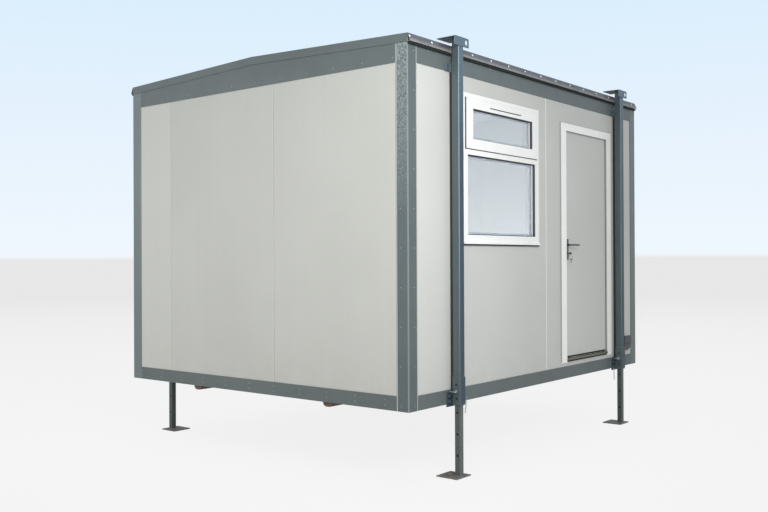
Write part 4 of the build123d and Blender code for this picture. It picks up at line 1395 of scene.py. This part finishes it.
@dataclass
class JackDressing:
    """Bolts, welds, pin handles and pin chains of the four jacks."""

    hull: Hull
    finishes: Finishes
    front_x: Sequence[float] = (-1.283, 1.352)
    axis_out: float = 0.044
    bracket_face: float = 0.001
    pin_height: float = 0.090
    sleeve_half: float = 0.034
    sleeve_top: float = 0.187
    bolt_heights: Sequence[float] = (0.020, 0.058, 2.330, 2.358)
    bolt_side: float = 0.058
    bolt_size: float = 0.009
    links: int = 7
    link_radius: float = 0.0044
    link_wire: float = 0.0016
    link_drop: float = 0.0155

    def build(self) -> None:
        """Builds all groups."""
        self.bracket_bolts()
        self.pin_handles()
        self.sleeve_welds()
        self.chains()

    def centre(self, x: float, height: float) -> Vector:
        """Point on a front jack's axis."""
        y = -self.hull.half_width - self.axis_out
        return Vector((x, y, self.hull.base + height))

    def bolt(self, mesh: Mesh, foot: Vector, axis: Vector, size: float) -> None:
        """Adds a hexagon head with its washer and a stub of thread.

        Args:
            mesh: Mesh that takes it.
            foot: Where its washer sits.
            axis: Direction of its head.
            size: Nominal thread diameter.
        """
        mesh.drum(foot + axis * 0.001, axis, size * 1.05, 0.002, 20, 0.0004)
        mesh.drum(foot + axis * (0.002 + size * 0.32), axis, size * 0.92, size * 0.64, 6, 0.0006)
        mesh.drum(foot + axis * (0.002 + size * 0.85), axis, size * 0.5, size * 0.5, 14, 0.0006)

    def bracket_bolts(self) -> None:
        """Bolts through both brackets of each jack."""
        mesh = Mesh()
        y = -self.hull.half_width - self.bracket_face
        for x in self.front_x:
            for height in self.bolt_heights:
                for side in (-self.bolt_side, self.bolt_side):
                    foot = Vector((x + side, y, self.hull.base + height))
                    self.bolt(mesh, foot, Side.FRONT.value, self.bolt_size)
        mesh.turned().piece("bracket_bolts", self.finishes["dull"], Slot.ZINC)

    def pin_handles(self) -> None:
        """T-shaped handle on the head of each locking pin."""
        mesh = Mesh()
        for x in self.front_x:
            bar = self.centre(x - self.sleeve_half - 0.040, self.pin_height)
            mesh.drum(bar, Side.FRONT.value, 0.0045, 0.050, 12, 0.001)
            stem = self.centre(x - self.sleeve_half - 0.021, self.pin_height)
            mesh.drum(stem, Side.LEFT.value, 0.0050, 0.040, 12)
        mesh.turned().piece("pin_handles", self.finishes["zinc"], Slot.ZINC)

    def sleeve_welds(self) -> None:
        """Weld beads along the upper edge of each sleeve."""
        mesh = Mesh()
        for x in self.front_x:
            for axis in (Side.LEFT.value, Side.FRONT.value):
                along = axis.cross(UP)
                foot = self.centre(x, self.sleeve_top) + axis * (self.sleeve_half - 0.0030)
                mesh.drum(foot, along, 0.0026, 0.048, 8, 0.0008)
        mesh.turned().piece("sleeve_welds", self.finishes["screw"], Slot.JACK)

    def chain(self, mesh: Mesh, top: Vector, lean: float) -> None:
        """Adds a hanging chain.

        Args:
            mesh: Mesh that takes it.
            top: Middle of its first link.
            lean: How far each link stands to the right of the one above.
        """
        step = Vector((lean, 0, -self.link_drop))
        for index in range(self.links):
            axis = Side.RIGHT.value if index % 2 else Side.FRONT.value
            stretch = UP * self.link_radius
            mesh.ring(top + step * index, axis, self.link_radius, self.link_wire, stretch)

    def chains(self) -> None:
        """Short chain of each pin: from its tail, or from the end of the bracket."""
        mesh = Mesh()
        left, right = self.front_x
        top = self.centre(left + 0.047, 0.036) - Vector((0, 0.0315, 0))
        self.chain(mesh, top, -0.0028)
        top = self.centre(right - 0.112, 0.002) + Vector((0, 0.012, 0))
        self.chain(mesh, top, 0.0012)
        mesh.turned().piece("pin_chains", self.finishes["zinc"], Slot.ZINC)


@dataclass
class InletDressing:
    """Latch and hinge of the power inlet's lid."""

    hull: Hull
    finishes: Finishes
    x: tuple[float, float] = (3.258, 3.380)
    z: tuple[float, float] = (0.146, 0.279)
    lid_face: float = -0.048

    def build(self) -> None:
        """Builds the hinge barrel and the latch."""
        mesh = Mesh()
        middle = sum(self.x) / 2
        hinge = self.hull.spot(Side.FRONT, middle, self.z[1] + 0.004, self.lid_face + 0.008)
        mesh.drum(hinge, Side.RIGHT.value, 0.0045, 0.090, 16)
        low = self.hull.spot(Side.FRONT, middle - 0.014, 0.206, self.lid_face - 0.005)
        high = self.hull.spot(Side.FRONT, middle + 0.014, 0.216, self.lid_face)
        mesh.box(low, high, 0.002)
        mesh.piece("inlet_lid_hinge", self.finishes["inlet"], Slot.INLET)


class Upkeep:
    """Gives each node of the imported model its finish."""

    PLAN = {
        "steelwork": (
            "base_rails_long",
            "base_rails_end",
            "floor_joists",
            "base_trims",
            "header_trims",
            "gable_fascia_left",
            "gable_fascia_right",
            "ridge_flashing",
        ),
        "post": ("corner_posts",),
        "eaves": ("eaves_flashing_front", "eaves_flashing_back"),
        "wall": (
            "front_wall_left",
            "front_wall_window",
            "front_wall_door_side",
            "front_wall_door_head",
            "front_wall_door_sill",
            "front_wall_right",
            "back_wall",
        ),
        "gable": ("left_wall", "right_wall"),
        "roof": ("roof_front", "roof_back"),
        "profile": ("window_frame", "window_sash"),
        "jamb": ("door_frame",),
        "glass": ("window_glass",),
        "aluminium": ("door_threshold",),
        "door": ("door_leaf",),
        "handle": ("door_handle_plates", "door_levers"),
        "lock": ("door_lock_cylinder",),
        "hinge": ("hinges_frame_side", "hinges_leaf_side"),
        "inlet": ("power_inlet",),
        "rubber": ("jack_packers",),
        "zinc": ("jack_pins",),
        "floor": ("floor_deck",),
        "runner": ("runners",),
        "jack": tuple(f"jack_mast_{corner}" for corner in CORNERS),
        "leg": tuple(f"jack_leg_{corner}" for corner in CORNERS),
    }

    def __init__(self, finishes: Finishes) -> None:
        """Keeps the finishes."""
        self.finishes = finishes

    def build(self) -> None:
        """Paints every node and reports it."""
        for finish, nodes in self.PLAN.items():
            for name in nodes:
                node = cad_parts[name]
                node.data.materials.clear()
                node.data.materials.append(self.finishes[finish])
                LOG.info("%s: %s", name, self.finishes[finish].name)


@dataclass
class Studio:
    """Pale floor, sky-blue backdrop, soft lamps and the camera."""

    camera_place: tuple[float, float, float] = (-6.5483, -5.1230, 1.5195)
    yaw: float = math.radians(38.9318)
    pitch: float = math.radians(0.2077)
    roll: float = math.radians(-0.2453)
    focal_pixels: float = 910.407
    shadow_share: float = 0.10
    picture_width: int = 768
    sensor: float = 36.0
    floor_size: float = 400.0
    air_strength: float = 0.62
    clip_end: float = 1000.0

    def build(self) -> None:
        """Builds the stage, the lamps and the camera."""
        bpy.context.scene.view_settings.view_transform = "Standard"
        self.floor()
        self.backdrop()
        self.lamps()
        self.camera()

    def floor(self) -> None:
        """Plain floor that the cabin stands on."""
        mesh = bpy.data.meshes.new("studio_floor")
        bm = bmesh.new()
        bmesh.ops.create_grid(bm, x_segments=1, y_segments=1, size=self.floor_size)
        bm.to_mesh(mesh)
        bm.free()
        floor = bpy.data.objects.new("studio_floor", mesh)
        bpy.context.scene.collection.objects.link(floor)
        mesh.materials.append(self.floor_paint())

    def floor_paint(self) -> bpy.types.Material:
        """Pale paint, a little darker far away as painted shade, and clear to a camera below it."""
        sketch = Sketch("studio_floor_paint")
        length = sketch.add("ShaderNodeVectorMath")
        length.operation = "LENGTH"
        sketch.link(sketch.place, length.inputs[0])
        far = sketch.range(length.outputs["Value"], 2.0, 30.0)
        shade = sketch.mix(far, Tone(236, 236, 236).linear(), Tone(228, 228, 228).linear())
        diffuse = sketch.add("ShaderNodeBsdfDiffuse", Roughness=0.0)
        sketch.link(shade, diffuse.inputs["Color"])
        glow = sketch.add("ShaderNodeEmission", Strength=1.0)
        seen = sketch.mix(far, Tone(249, 249, 249).linear(), Tone(236, 236, 236).linear())
        sketch.link(seen, glow.inputs["Color"])
        ray = sketch.add("ShaderNodeLightPath")
        part = sketch.product(ray.outputs["Is Camera Ray"], 1.0 - self.shadow_share)
        blend = sketch.add("ShaderNodeMixShader")
        sketch.link(part, blend.inputs[0])
        sketch.link(diffuse.outputs["BSDF"], blend.inputs[1])
        sketch.link(glow.outputs["Emission"], blend.inputs[2])
        under = sketch.add("ShaderNodeNewGeometry").outputs["Backfacing"]
        clear = sketch.add("ShaderNodeBsdfTransparent")
        sided = sketch.add("ShaderNodeMixShader")
        sketch.link(sketch.product(under, ray.outputs["Is Camera Ray"]), sided.inputs[0])
        sketch.link(blend.outputs["Shader"], sided.inputs[1])
        sketch.link(clear.outputs["BSDF"], sided.inputs[2])
        sketch.link(sided.outputs["Shader"], sketch.output.inputs["Surface"])
        return sketch.material

    def backdrop(self) -> None:
        """World: plain soft light, and pale blue where the camera or a mirror sees it."""
        world = bpy.data.worlds.new("studio_air")
        bpy.context.scene.world = world
        world.use_nodes = True
        tree = world.node_tree
        tree.nodes.clear()

        def node(kind: str) -> bpy.types.Node:
            """Adds a node to the world."""
            return tree.nodes.new(kind)

        aim = node("ShaderNodeTexCoord")
        split = node("ShaderNodeSeparateXYZ")
        ramp = node("ShaderNodeValToRGB")
        tree.links.new(aim.outputs["Generated"], split.inputs["Vector"])
        tree.links.new(split.outputs["Z"], ramp.inputs["Fac"])
        stops = (
            (0.0, Tone(231, 231, 231)),
            (0.0033, Tone(231, 231, 231)),
            (0.0040, Tone(240, 247, 254)),
            (0.14, Tone(230, 242, 253)),
            (0.28, Tone(218, 238, 253)),
        )
        while len(ramp.color_ramp.elements) < len(stops):
            ramp.color_ramp.elements.new(0.5)
        for element, (place, tone) in zip(ramp.color_ramp.elements, stops):
            element.position = place
            element.color = tone.linear()
        seen = node("ShaderNodeBackground")
        plain = node("ShaderNodeBackground")
        tree.links.new(ramp.outputs["Color"], seen.inputs["Color"])
        plain.inputs["Color"].default_value = (1.0, 1.0, 1.0, 1.0)
        plain.inputs["Strength"].default_value = self.air_strength
        ray = node("ShaderNodeLightPath")
        shown = ray.outputs["Is Camera Ray"]
        for other in ("Is Glossy Ray", "Is Transmission Ray"):
            total = node("ShaderNodeMath")
            total.operation = "ADD"
            total.use_clamp = True
            tree.links.new(shown, total.inputs[0])
            tree.links.new(ray.outputs[other], total.inputs[1])
            shown = total.outputs["Value"]
        mix = node("ShaderNodeMixShader")
        out = node("ShaderNodeOutputWorld")
        tree.links.new(shown, mix.inputs[0])
        tree.links.new(plain.outputs["Background"], mix.inputs[1])
        tree.links.new(seen.outputs["Background"], mix.inputs[2])
        tree.links.new(mix.outputs["Shader"], out.inputs["Surface"])

    def lamp(
        self,
        name: str,
        place: Sequence[float],
        aim: Sequence[float],
        size: float,
        watts: float,
        spread: float = 180.0,
    ) -> None:
        """Adds a square softbox.

        Args:
            name: Name of the lamp.
            place: Where it stands.
            aim: Point that it faces.
            size: Side of the square.
            watts: Power.
            spread: Angle in degrees that its light fans out over.
        """
        data = bpy.data.lights.new(name, "AREA")
        data.shape = "SQUARE"
        data.size = size
        data.energy = watts
        data.spread = math.radians(spread)
        lamp = bpy.data.objects.new(name, data)
        bpy.context.scene.collection.objects.link(lamp)
        lamp.location = place
        aim_line = Vector(aim) - Vector(place)
        lamp.rotation_euler = aim_line.to_track_quat("-Z", "Y").to_euler()

    def lamps(self) -> None:
        """Softboxes for the near corner and the far end of the gable, and one in the room."""
        corner, gable, room = (-1.75, -1.45, 2.05), (-1.8, 1.3, 1.8), (0.2, 0.1, 3.0)
        self.lamp("corner_softbox", (-3.9, -4.7, 3.5), corner, size=1.6, watts=36, spread=80)
        self.lamp("gable_softbox", (-6.0, 3.2, 2.6), gable, size=2.2, watts=12, spread=80)
        self.lamp("room_lamp", (0.2, 0.1, 0.69), room, size=2.6, watts=86)

    def camera(self) -> None:
        """Camera at the photograph's place, aim and lens."""
        data = bpy.data.cameras.new("photo_camera")
        data.sensor_width = self.sensor
        data.lens = self.focal_pixels / self.picture_width * self.sensor
        data.clip_end = self.clip_end
        camera = bpy.data.objects.new("photo_camera", data)
        bpy.context.scene.collection.objects.link(camera)
        ahead = Vector(
            (
                math.cos(self.pitch) * math.cos(self.yaw),
                math.cos(self.pitch) * math.sin(self.yaw),
                math.sin(self.pitch),
            )
        )
        right = ahead.cross(UP).normalized()
        top = right.cross(ahead)
        rolled = right * math.cos(self.roll) + top * math.sin(self.roll)
        crown = top * math.cos(self.roll) - right * math.sin(self.roll)
        turn = Matrix((rolled, crown, -ahead)).transposed().to_4x4()
        camera.matrix_world = Matrix.Translation(self.camera_place) @ turn
        bpy.context.scene.camera = camera


def main() -> None:
    """Builds the studio, the finishes and every fitting in turn."""
    Studio().build()
    finishes = Finishes()
    hull = Hull()
    Upkeep(finishes).build()
    for dressing in (CoverFixings, WindowDressing, DoorDressing, JackDressing, InletDressing):
        dressing(hull, finishes).build()


if __name__ == "__main__":
    main()
